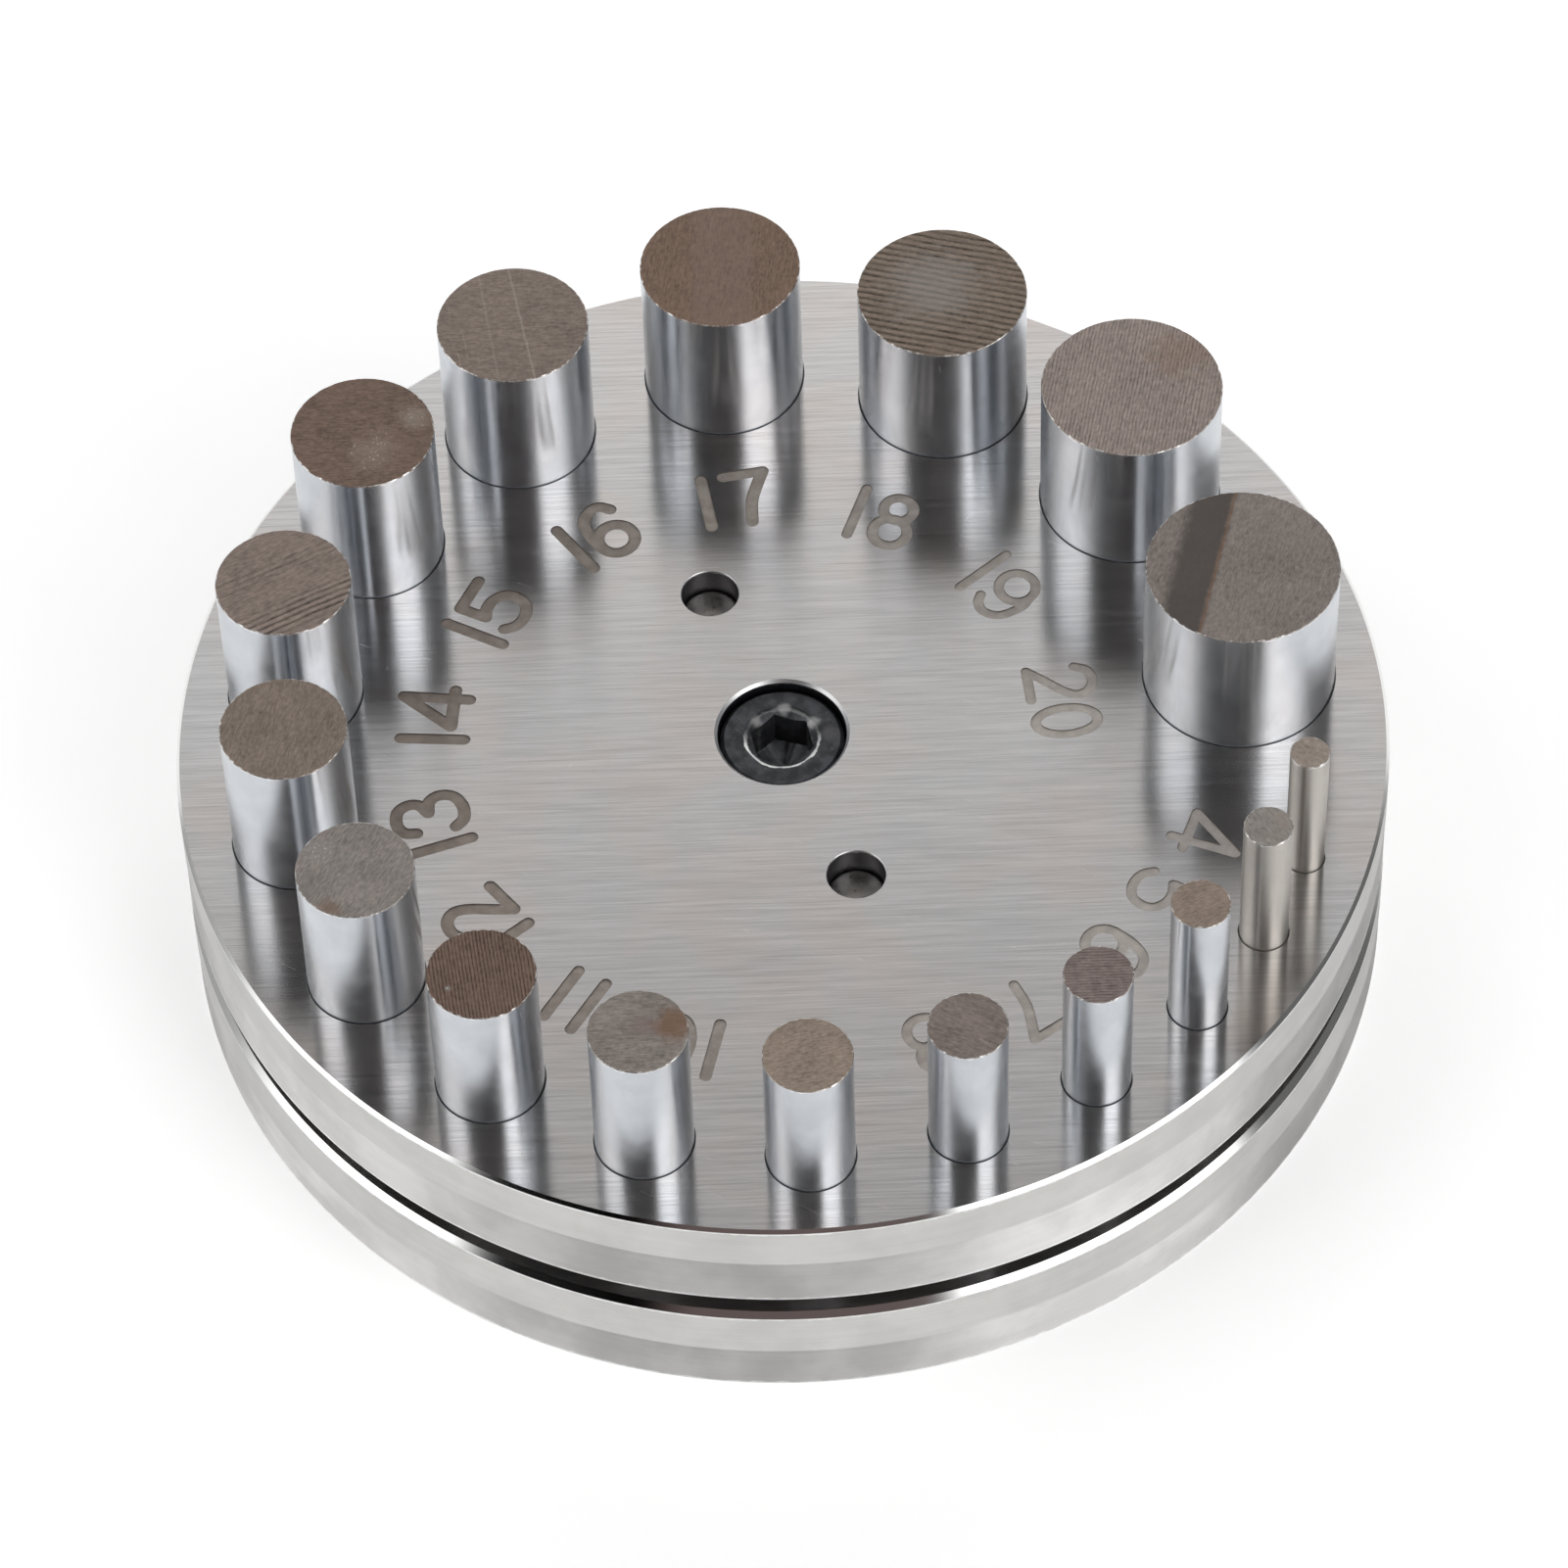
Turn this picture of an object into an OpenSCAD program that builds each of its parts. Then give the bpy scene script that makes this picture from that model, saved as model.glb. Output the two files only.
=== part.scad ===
// Disc cutter for sheet metal. A guide plate floats over a die plate on two dowel pins.
// Coil springs on the pins hold it up against the head of a socket screw, which clamps
// it down on the sheet. Round punches of graded size stand in a ring of bores that runs
// through both plates.
// Lengths are in millimetres and angles in degrees. The origin is on the bench under the
// middle of the block, +Z is up, and the smallest punch stands to the right, near +X.

/* [Plates] */
// Diameter of both plates
disc_d = 126; // [120:1:150]
// Thickness of the guide plate
guide_t = 12.1; // [11.5:0.1:16]
// Thickness of the die plate
die_t = 12.4; // [11.5:0.1:16]
// Height of the open slot that takes the sheet
slot_h = 2.7; // [2:0.1:3.5]
// Steel left between the punch bores and the rim
rim_wall = 4.8; // [3:0.1:6]
// Chamfer round the guide plate's top edge
guide_chamfer = 0.35; // [0.1:0.05:1]
// Chamfer round the die plate's top edge
die_chamfer = 0.6; // [0.1:0.05:1]
// Break of the edges that face downwards
edge_break = 0.2; // [0.05:0.05:0.5]
// Step between the two turned bands of each rim
rim_step = 0.06; // [0.02:0.01:0.2]

/* [Punches] */
// Diameter of the smallest punch
first_punch_d = 4; // [3:0.5:4]
// Growth in diameter from one punch to the next
punch_step = 1; // [0.8:0.05:1]
// Length of a new punch
punch_l = 45.5; // [40:0.5:70]
// Most that regrinding has taken off a punch
regrind = 2; // [0:0.5:4]
// Bevel round the struck end of a punch
punch_bevel = 0.25; // [0.1:0.05:0.6]
// Direction of the smallest punch, anticlockwise from +X
first_punch_angle = -19.5; // [-180:0.5:180]

/* [Punch bores] */
// Clearance all round a punch in the guide plate
guide_clearance = 0.08; // [0.02:0.01:0.1]
// Clearance all round a punch in its cutting land
die_clearance = 0.05; // [0.02:0.01:0.1]
// Depth of the cutting land in the die plate
land_h = 5; // [3:0.5:8]
// Widening of a die bore below its land
die_relief = 0.3; // [0.1:0.05:0.6]
// Break of the edge round a bore's mouth
mouth_break = 0.12; // [0.05:0.01:0.3]

/* [Clamp screw] */
// Thread diameter
screw_d = 8; // [6:1:10]
// Length under the head
screw_l = 12; // [10:1:14]
// Diameter of the head
head_d = 13; // [12:0.5:16]
// Height of the head
head_h = 8; // [6:0.5:8.5]
// Depth of the head below the top face
head_sink = 1; // [0.5:0.1:2]
// Size of the hex socket across its flats
key_size = 6; // [4:1:7]
// Depth of the hex socket
key_depth = 4.5; // [3:0.5:5.5]
// Turn of the socket's flats, anticlockwise from the X axis
key_angle = -9; // [-30:1:30]
// Clearance all round the head in its counterbore
head_clearance = 0.25; // [0.1:0.05:0.5]
// Clearance all round the screw in the guide plate
shank_clearance = 0.5; // [0.2:0.1:1]
// Clearance all round the screw in its tapped hole
thread_clearance = 0.05; // [0.02:0.01:0.1]

/* [Dowel pins] */
// Diameter of a dowel pin
pin_d = 6; // [5:0.5:7]
// Length of a dowel pin
pin_l = 24; // [20:0.5:24]
// Depth of a pin's top below the top face
pin_sink = 3; // [2.8:0.1:4]
// Diameter of the circle that the pins stand on
pin_circle_d = 40.4; // [34:0.2:48]
// Direction of the rear pin, anticlockwise from +X
pin_angle = 110.5; // [0:0.5:180]
// Chamfer of a pin's ends
pin_chamfer = 0.5; // [0.2:0.1:1]
// Clearance all round a pin in the guide plate
pin_clearance = 0.03; // [0.02:0.01:0.1]
// Overlap all round a pin pressed into the die plate
pin_press = 0.01; // [0.005:0.005:0.02]

/* [Lift springs] */
// Diameter of the spring wire
wire_d = 0.7; // [0.5:0.05:0.8]
// Turns of each spring
spring_turns = 4.5; // [3:0.5:4.5]
// Depth of the spring pockets in the die plate
pocket_depth = 5; // [4.5:0.1:6]
// Clearance between a spring and its pin or pocket
spring_clearance = 0.35; // [0.2:0.05:0.6]

/* [Hidden] */
// One name for each punch, by its size when the cutter is new
PUNCH_NODES = [
    "punch_04", "punch_05", "punch_06", "punch_07", "punch_08", "punch_09",
    "punch_10", "punch_11", "punch_12", "punch_13", "punch_14", "punch_15",
    "punch_16", "punch_17", "punch_18", "punch_19", "punch_20"
];

$fn = 96;
// Overrun of every cut past the face it opens
overrun = 1;

// Shares of the free arc that each web gets, from the smallest bore on, clockwise
web_shares = [60, 64, 74, 72, 79, 78, 74, 75, 76, 66, 78, 71, 78, 74, 70, 88, 124];
// Shares of the regrinding that each punch has had, from the smallest on
regrind_shares = [
    0.46, 0.44, 0.59, 0.42, 0.29, 0.71, 0.10, 0.33, 0.27, 0.04, 0.15, 0.11, 0.49, 0.43,
    0.94, 0.47, 0.53
];
// Height of the witness line between a rim's turned bands, as a share of the thickness
guide_band_share = 0.535;
die_band_share = 0.49;

// Heights of the block's faces over the bench
guide_z = die_t + slot_h;
block_h = guide_z + guide_t;
disc_r = disc_d / 2;

// The ring of punches
punch_count = len(PUNCH_NODES);
last_punch = punch_count - 1;
// The tangent circle that all the bores reach
ring_r = disc_r - rim_wall;
// Free arc left between the bores, shared out as webs
free_arc = 360 - 2 * total([for (i = [0:last_punch]) half_arc(i)]);

// The clamp screw
head_r = head_d / 2;
screw_r = screw_d / 2;
head_seat_z = block_h - head_sink - head_h;
head_chamfer = head_h / 12;
screw_chamfer = screw_d / 10;
key_corner_r = key_size / sqrt(3);
// Included angles of the lead-in at the socket's mouth and of the drill's point below it
mouth_angle = 120;
drill_angle = 118;

// The dowel pins
pin_r = pin_d / 2;
pin_top_z = block_h - pin_sink;
pin_circle_r = pin_circle_d / 2;

// The lift springs
coil_r = pin_r + spring_clearance + wire_d / 2;
pocket_r = coil_r + wire_d / 2 + spring_clearance;
pocket_z = die_t - pocket_depth;
// Running gap between a spring's ends and the steel they bear on
spring_seat_gap = wire_d / 14;
spring_h = pocket_depth + slot_h - 2 * spring_seat_gap;
wire_sides = 8;
rings_per_turn = 18;
last_ring = spring_turns * rings_per_turn;
// How much closer the end turns lie, as a share of the mean pitch
end_turn_share = 0.25;

// Sum of a list
function total(list, i = 0) = i < len(list) ? list[i] + total(list, i + 1) : 0;

// Diameter of punch i, its distance from the middle and half the arc that its bore takes
function punch_diameter(i) = first_punch_d + i * punch_step;
function pitch_r(i) = ring_r - punch_diameter(i) / 2;
function half_arc(i) = asin(punch_diameter(i) / 2 / pitch_r(i));
function web(i) = free_arc * web_shares[i] / total(web_shares);
// Direction of punch i. The punches grow clockwise, seen from above.
function punch_angle(i) =
    i == 0 ? first_punch_angle : punch_angle(i - 1) - half_arc(i - 1) - web(i - 1) - half_arc(i);
function punch_height(i) = punch_l - regrind * regrind_shares[i];

// Height of a spring's wire at share u of its length, drawn in towards both ends
function coil_rise(u) = u - end_turn_share * sin(360 * u) / (2 * PI);
function coil_z(u) = wire_d / 2 + (spring_h - wire_d) * coil_rise(u);
// Slope of the wire there
function coil_climb(u) =
    atan((spring_h - wire_d) * (1 - end_turn_share * cos(360 * u)) / (2 * PI * coil_r * spring_turns));

// Middle of a spring's wire at a ring of its skin, and the least gap from turn to turn
function coil_centre(ring) =
    let (u = ring / last_ring, turn = 360 * spring_turns * u)
        [coil_r * cos(turn), coil_r * sin(turn), coil_z(u)];
function least_coil_gap() =
    min([
        for (a = [0:last_ring - rings_per_turn])
            for (b = [a + rings_per_turn / 2:min(a + 3 * rings_per_turn / 2, last_ring)])
                norm(coil_centre(b) - coil_centre(a))
    ]) - wire_d;

module at_punch(i) {
    rotate([0, 0, punch_angle(i)])
        translate([pitch_r(i), 0, 0])
            children();
}

// side is 0 for the rear pin and 1 for the front one
module at_pin(side) {
    rotate([0, 0, pin_angle + 180 * side])
        translate([pin_circle_r, 0, 0])
            children();
}

// A blank plate, turned from both faces so that its rim has two bands
module plate_blank(thickness, top_chamfer, band_share) {
    band_z = thickness * band_share;
    lower_r = disc_r - rim_step;
    rotate_extrude()
        polygon([
            [0, 0],
            [lower_r - edge_break, 0],
            [lower_r, edge_break],
            [lower_r, band_z - rim_step],
            [disc_r, band_z],
            [disc_r, thickness - top_chamfer],
            [disc_r - top_chamfer, thickness],
            [0, thickness]
        ]);
}

// A through hole with a broken edge at both faces of a plate that stands on z = 0
module through_hole(r, thickness, mouth) {
    translate([0, 0, -overrun])
        cylinder(r = r, h = thickness + 2 * overrun);
    hole_mouth(r, mouth);
    translate([0, 0, thickness])
        mirror([0, 0, 1])
            hole_mouth(r, mouth);
}

// The broken edge of a hole that opens downwards at z = 0
module hole_mouth(r, mouth) {
    translate([0, 0, -overrun])
        cylinder(r1 = r + mouth + overrun, r2 = r, h = mouth + overrun);
}

// A die bore: the cutting land on top keeps its sharp edge, and a relief below lets the
// discs fall through
module die_bore(r) {
    cylinder(r = r, h = die_t + overrun);
    translate([0, 0, -overrun])
        cylinder(r = r + die_relief, h = die_t - land_h + overrun);
    hole_mouth(r + die_relief, mouth_break);
}

module die_plate() {
    color("silver")
        difference() {
            plate_blank(die_t, die_chamfer, die_band_share);
            for (i = [0:last_punch])
                at_punch(i)
                    die_bore(punch_diameter(i) / 2 + die_clearance);
            through_hole(screw_r + thread_clearance, die_t, screw_chamfer);
            for (side = [0, 1])
                at_pin(side) {
                    through_hole(pin_r - pin_press, die_t, mouth_break);
                    translate([0, 0, pocket_z])
                        cylinder(r = pocket_r, h = pocket_depth + overrun);
                }
        }
}

module guide_plate() {
    color("gainsboro")
        translate([0, 0, guide_z])
            difference() {
                plate_blank(guide_t, guide_chamfer, guide_band_share);
                for (i = [0:last_punch])
                    at_punch(i)
                        through_hole(punch_diameter(i) / 2 + guide_clearance, guide_t, mouth_break);
                for (side = [0, 1])
                    at_pin(side)
                        through_hole(pin_r + pin_clearance, guide_t, mouth_break);
                through_hole(screw_r + shank_clearance, guide_t, mouth_break);
                counterbore();
            }
}

// The recess for the screw head, measured from the guide plate's underside
module counterbore() {
    r = head_r + head_clearance;
    seat = head_seat_z - guide_z;
    translate([0, 0, seat])
        cylinder(r = r, h = guide_t - seat + overrun);
    translate([0, 0, guide_t])
        mirror([0, 0, 1])
            hole_mouth(r, head_clearance);
}

module clamp_screw() {
    color("dimgray")
        translate([0, 0, head_seat_z])
            difference() {
                rotate_extrude()
                    polygon([
                        [0, -screw_l],
                        [screw_r - screw_chamfer, -screw_l],
                        [screw_r, screw_chamfer - screw_l],
                        [screw_r, 0],
                        [head_r, 0],
                        [head_r, head_h - head_chamfer],
                        [head_r - head_chamfer, head_h],
                        [0, head_h]
                    ]);
                key_socket();
            }
}

// The hex socket, with a lead-in cone at its mouth and the drill's point below
module key_socket() {
    flat_r = key_size / 2;
    mouth_r = 2 * key_corner_r - flat_r;
    mouth_depth = (mouth_r - flat_r) / tan(mouth_angle / 2);
    point_depth = flat_r / tan(drill_angle / 2);
    translate([0, 0, head_h - key_depth])
        rotate([0, 0, key_angle])
            cylinder(r = key_corner_r, h = key_depth + overrun, $fn = 6);
    translate([0, 0, head_h - mouth_depth])
        cylinder(r1 = flat_r, r2 = mouth_r, h = mouth_depth);
    translate([0, 0, head_h])
        cylinder(r = mouth_r, h = overrun);
    translate([0, 0, head_h - key_depth - point_depth])
        cylinder(r1 = 0, r2 = flat_r, h = point_depth);
}

module dowel_pin(side) {
    color("lightsteelblue")
        at_pin(side)
            translate([0, 0, pin_top_z - pin_l])
                rotate_extrude()
                    polygon([
                        [0, 0],
                        [pin_r - pin_chamfer, 0],
                        [pin_r, pin_chamfer],
                        [pin_r, pin_l - pin_chamfer],
                        [pin_r - pin_chamfer, pin_l],
                        [0, pin_l]
                    ]);
}

// One coil spring round a dowel pin, swept as an unbroken tube along its helix
module lift_spring(side) {
    echo(least_coil_gap = least_coil_gap());
    points = [
        for (ring = [0:last_ring])
            for (s = [0:wire_sides - 1])
                coil_point(ring / last_ring, 360 * s / wire_sides)
    ];
    walls = [
        for (ring = [0:last_ring - 1])
            for (s = [0:wire_sides - 1])
                let (
                    a = ring * wire_sides + s,
                    b = ring * wire_sides + (s + 1) % wire_sides
                )
                    each [[a, a + wire_sides, b], [b, a + wire_sides, b + wire_sides]]
    ];
    first_cap = [for (s = [1:wire_sides - 2]) [0, s, s + 1]];
    end = last_ring * wire_sides;
    last_cap = [for (s = [1:wire_sides - 2]) [end, end + s + 1, end + s]];
    color("slategray")
        at_pin(side)
            translate([0, 0, pocket_z + spring_seat_gap])
                polyhedron(points = points, faces = concat(walls, first_cap, last_cap), convexity = 8);
}

// A point on the wire's skin, at share u of the wire and angle a round it
function coil_point(u, a) =
    let (
        turn = 360 * spring_turns * u,
        out = coil_r + wire_d / 2 * cos(a),
        along = -wire_d / 2 * sin(a) * sin(coil_climb(u)),
        up = wire_d / 2 * sin(a) * cos(coil_climb(u))
    )
        [
            out * cos(turn) - along * sin(turn),
            out * sin(turn) + along * cos(turn),
            coil_z(u) + up
        ];

// Punch i, cut square and sharp at the foot and bevelled round its struck end
module punch(i) {
    r = punch_diameter(i) / 2;
    h = punch_height(i);
    color("lightgray")
        at_punch(i)
            rotate_extrude()
                polygon([
                    [0, 0],
                    [r, 0],
                    [r, h - punch_bevel],
                    [r - punch_bevel, h],
                    [0, h]
                ]);
}

die_plate();
guide_plate();
clamp_screw();
dowel_pin(0);  // dowel_pin_rear
dowel_pin(1);  // dowel_pin_front
lift_spring(0);  // lift_spring_rear
lift_spring(1);  // lift_spring_front
for (i = [0:last_punch])
    punch(i);
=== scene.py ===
"""Looks of a round disc cutter: two ground steel plates, seventeen punches, a socket screw,
two dowel pins and two lift springs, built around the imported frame.

Everything is in metres, in the frame's own axes: the origin is on the bench under the middle
of the block and +Z is up. Sizes are written in millimetres times MM.
"""

from __future__ import annotations

import sys

import logging
import math
from dataclasses import dataclass
from enum import Enum, IntEnum
from typing import Callable, NamedTuple, Sequence, Union

import bmesh
import bpy
from mathutils import Matrix, Vector
from mathutils.geometry import delaunay_2d_cdt


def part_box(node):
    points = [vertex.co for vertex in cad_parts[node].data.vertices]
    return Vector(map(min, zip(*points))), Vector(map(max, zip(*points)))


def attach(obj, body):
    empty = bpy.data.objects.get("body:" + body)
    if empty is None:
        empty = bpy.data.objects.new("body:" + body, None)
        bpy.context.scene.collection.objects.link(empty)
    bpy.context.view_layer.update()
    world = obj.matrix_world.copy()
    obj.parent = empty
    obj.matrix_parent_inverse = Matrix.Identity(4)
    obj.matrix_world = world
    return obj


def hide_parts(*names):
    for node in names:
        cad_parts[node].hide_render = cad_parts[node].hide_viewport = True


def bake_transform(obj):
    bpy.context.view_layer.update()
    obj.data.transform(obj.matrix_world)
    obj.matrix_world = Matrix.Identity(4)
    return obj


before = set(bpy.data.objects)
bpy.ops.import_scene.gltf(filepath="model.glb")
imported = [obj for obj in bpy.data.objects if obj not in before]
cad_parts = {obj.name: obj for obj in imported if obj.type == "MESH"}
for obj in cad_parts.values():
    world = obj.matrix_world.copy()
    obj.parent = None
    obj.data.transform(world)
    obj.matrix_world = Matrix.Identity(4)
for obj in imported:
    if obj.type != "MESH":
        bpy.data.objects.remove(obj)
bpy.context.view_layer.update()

MM = 0.001
# Points closer than this become one point
WELD = 0.0005 * MM
# Edges that fold more than this stay crisp
CRISP_ANGLE = math.radians(28)
# What a flat face asks of delaunay_2d_cdt: the triangles inside its outlines, with points closer
# than so many millimetres made one
INSIDE, NEAR = 1, 1e-5

log = logging.getLogger("disc_cutter")

Colour = tuple[float, float, float]
Point = tuple[float, float, float]
Flat = tuple[float, float]
Piece = bpy.types.Object
Material = bpy.types.Material
Socket = bpy.types.NodeSocket
Sockets = dict[str, Socket]
# What feeds a socket
Feed = Union[float, Sequence[float], Socket]
# A size that may change round the axis, as a function of the angle
Reach = Union[float, Callable[[float], float]]


# ---------------------------------------------------------------------------
# Node graphs
# ---------------------------------------------------------------------------


class Graph:
    """Adds nodes to one node tree and joins them up."""

    def __init__(self, tree: bpy.types.NodeTree) -> None:
        """Starts on a tree.

        Args:
            tree: The node tree that every call adds to.
        """
        self.tree = tree

    def feed(self, socket: Socket, value: Feed) -> None:
        """Links a socket to another one, or sets its own value.

        Args:
            socket: The input to fill.
            value: An output socket, a number or a list of numbers.
        """
        if isinstance(value, Socket):
            self.tree.links.new(value, socket)
        else:
            socket.default_value = value

    def node(self, kind: str, inputs: dict[str, Feed] | None = None, **settings: object) -> bpy.types.Node:
        """Adds a node.

        Args:
            kind: The node's type name.
            inputs: What feeds each named input.
            **settings: Values of the node's own properties.

        Returns:
            The new node.
        """
        made = self.tree.nodes.new(kind)
        for name, setting in settings.items():
            setattr(made, name, setting)
        for name, value in (inputs or {}).items():
            self.feed(made.inputs[name], value)
        return made

    def math(self, operation: str, *values: Feed) -> Socket:
        """Adds a Math node.

        Args:
            operation: The operation's name, such as MULTIPLY.
            *values: What feeds the inputs, in order.

        Returns:
            The result.
        """
        made = self.node("ShaderNodeMath", operation=operation)
        for socket, value in zip(made.inputs, values):
            self.feed(socket, value)
        return made.outputs[0]

    def total(self, start: Feed, *parts: tuple[Feed, float]) -> Feed:
        """Adds values up, each times its own weight.

        Args:
            start: What the sum starts from.
            *parts: Each value with its weight.

        Returns:
            The sum.
        """
        for value, weight in parts:
            start = self.math("MULTIPLY_ADD", value, weight, start)
        return start

    def vector(self, operation: str, *values: Feed) -> Socket:
        """Adds a Vector Math node.

        Args:
            operation: The operation's name, such as ADD.
            *values: What feeds the inputs, in order.

        Returns:
            The vector result.
        """
        made = self.node("ShaderNodeVectorMath", operation=operation)
        for socket, value in zip(made.inputs, values):
            self.feed(socket, value)
        return made.outputs["Vector"]

    def scaled(self, vector: Feed, factor: Feed) -> Socket:
        """Multiplies a vector or a colour by a value.

        Args:
            vector: The vector or the colour.
            factor: The value.

        Returns:
            The product.
        """
        made = self.node("ShaderNodeVectorMath", {"Scale": factor}, operation="SCALE")
        self.feed(made.inputs[0], vector)
        return made.outputs["Vector"]

    def shrunk(self, vector: Feed, size: Feed) -> Socket:
        """Divides a vector by a size, so that one unit is one lump."""
        return self.scaled(vector, self.math("DIVIDE", 1.0, size))

    def join(self, x: Feed, y: Feed, z: Feed) -> Socket:
        """Makes a vector of three values."""
        return self.node("ShaderNodeCombineXYZ", {"X": x, "Y": y, "Z": z}).outputs[0]

    def split(self, vector: Feed) -> tuple[Socket, ...]:
        """Gives the three values of a vector."""
        return tuple(self.node("ShaderNodeSeparateXYZ", {"Vector": vector}).outputs)

    def turned(self, vector: Feed, angle: Feed) -> Socket:
        """Turns a vector about Z by an angle in radians."""
        return self.node("ShaderNodeVectorRotate", {"Vector": vector, "Angle": angle},
                         rotation_type="Z_AXIS").outputs[0]

    def noise(self, vector: Feed, scale: Feed, detail: float = 2.0,
              roughness: float = 0.5) -> Socket:
        """Adds a noise texture.

        Args:
            vector: Where the noise is looked up.
            scale: Lumps for each unit of the vector.
            detail: Octaves of finer noise.
            roughness: How strong the finer octaves are.

        Returns:
            The noise, about 0.5 on average.
        """
        made = self.node("ShaderNodeTexNoise", {"Vector": vector, "Scale": scale, "Detail": detail,
                                                "Roughness": roughness})
        return made.outputs["Fac"]

    def step(self, value: Feed, low: Feed, high: Feed, start: Feed = 0.0,
             end: Feed = 1.0) -> Socket:
        """Maps a range to another one with a soft start and end.

        Args:
            value: What is mapped.
            low: The value that gives start.
            high: The value that gives end.
            start: The result at low.
            end: The result at high.

        Returns:
            The mapped value.
        """
        made = self.node("ShaderNodeMapRange", {"Value": value, "From Min": low, "From Max": high,
                                                "To Min": start, "To Max": end},
                         interpolation_type="SMOOTHSTEP")
        return made.outputs["Result"]

    def mix(self, factor: Feed, first: Feed, second: Feed) -> Socket:
        """Mixes two colours.

        Args:
            factor: 0 for the first colour and 1 for the second.
            first: A colour, or a colour socket.
            second: A colour, or a colour socket.

        Returns:
            The mixed colour.
        """
        made = self.node("ShaderNodeMix", data_type="RGBA")
        self.feed(made.inputs[0], factor)
        for socket, value in ((made.inputs[6], first), (made.inputs[7], second)):
            self.feed(socket, value if isinstance(value, Socket) else (*value, 1.0))
        return made.outputs[2]


# ---------------------------------------------------------------------------
# Effects that several finishes share
# ---------------------------------------------------------------------------

FLOAT, VECTOR = "NodeSocketFloat", "NodeSocketVector"
# The stretch of a noise's values over which a line goes from shallow to deep
DEEP = (0.58, 0.72)


class Effect:
    """A shader node group, built once and placed in each material with its own values."""

    label = ""
    takes: dict[str, float | None] = {}
    gives: tuple[str, ...] = ()
    trees: dict[str, bpy.types.NodeTree] = {}

    def fill(self, graph: Graph, given: Sockets) -> Sockets:
        """Builds the inside of the group.

        Args:
            graph: The group's own graph.
            given: The group's inputs by name.

        Returns:
            What feeds each of the group's outputs.
        """
        raise NotImplementedError

    def tree(self) -> bpy.types.NodeTree:
        """Gives the group, which the first call builds.

        Returns:
            The node tree of the group.
        """
        if self.label not in Effect.trees:
            made = bpy.data.node_groups.new(self.label, "ShaderNodeTree")
            for name, default in self.takes.items():
                kind = VECTOR if default is None else FLOAT
                socket = made.interface.new_socket(name=name, in_out="INPUT", socket_type=kind)
                if default is not None:
                    socket.default_value = default
            for name in self.gives:
                made.interface.new_socket(name=name, in_out="OUTPUT", socket_type=FLOAT)
            graph = Graph(made)
            entry, leave = graph.node("NodeGroupInput"), graph.node("NodeGroupOutput")
            results = self.fill(graph, {name: entry.outputs[name] for name in self.takes})
            for name, socket in results.items():
                graph.feed(leave.inputs[name], socket)
            Effect.trees[self.label] = made
        return Effect.trees[self.label]

    def place(self, graph: Graph, **values: Feed) -> Sockets:
        """Places the group in a material.

        Args:
            graph: The material's graph.
            **values: What feeds each input, by its name in lower case.

        Returns:
            The group's outputs by name.
        """
        made = graph.node("ShaderNodeGroup", node_tree=self.tree())
        for name in self.takes:
            if name.lower() in values:
                graph.feed(made.inputs[name], values[name.lower()])
        return {name: made.outputs[name] for name in self.gives}


class StraightGrain(Effect):
    """Fine parallel lines, as a surface grinder leaves them."""

    label = "straight grain"
    takes = {"Vector": None, "Angle": 0.0, "Pitch": 0.2 * MM, "Length": 10 * MM}
    gives = ("Height", "Deep")

    def fill(self, graph: Graph, given: Sockets) -> Sockets:
        """Stretches two noises along the grain.

        Args:
            graph: The group's own graph.
            given: The group's inputs by name.

        Returns:
            What feeds each of the group's outputs.
        """
        x, y, z = graph.split(graph.turned(given["Vector"], given["Angle"]))
        across = graph.math("DIVIDE", y, given["Pitch"])
        along = graph.math("DIVIDE", x, given["Length"])
        deep = graph.math("DIVIDE", z, given["Pitch"])
        fine = graph.noise(graph.join(along, across, deep), 1.0, 3.0, 0.6)
        slow = graph.math("MULTIPLY", across, 0.23)
        broad = graph.noise(graph.join(along, slow, deep), 1.0, 2.0, 0.6)
        height = graph.total(graph.math("MULTIPLY", fine, 0.75), (broad, 0.25))
        return {"Height": height, "Deep": graph.step(fine, *DEEP)}


class TurnedGrain(Effect):
    """Fine lines that run round the Z axis, as a lathe leaves them."""

    label = "turned grain"
    takes = {"Vector": None, "Pitch": 0.2 * MM, "Runs": 3.0}
    gives = ("Height", "Deep")

    def fill(self, graph: Graph, given: Sockets) -> Sockets:
        """Looks noise up by height and distance from the axis, with little change round it.

        Args:
            graph: The group's own graph.
            given: The group's inputs by name.

        Returns:
            What feeds each of the group's outputs.
        """
        x, y, z = graph.split(given["Vector"])
        out = graph.math("SQRT", graph.math("MULTIPLY_ADD", x, x, graph.math("MULTIPLY", y, y)))
        safe = graph.math("MAXIMUM", out, 0.01 * MM)
        cosine = graph.math("MULTIPLY", graph.math("DIVIDE", x, safe), given["Runs"])
        sine = graph.math("MULTIPLY", graph.math("DIVIDE", y, safe), given["Runs"])
        line = graph.math("DIVIDE", graph.math("ADD", z, out), given["Pitch"])
        fine = graph.noise(graph.join(cosine, sine, line), 1.0, 3.0, 0.6)
        return {"Height": fine, "Deep": graph.step(fine, *DEEP)}


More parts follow.
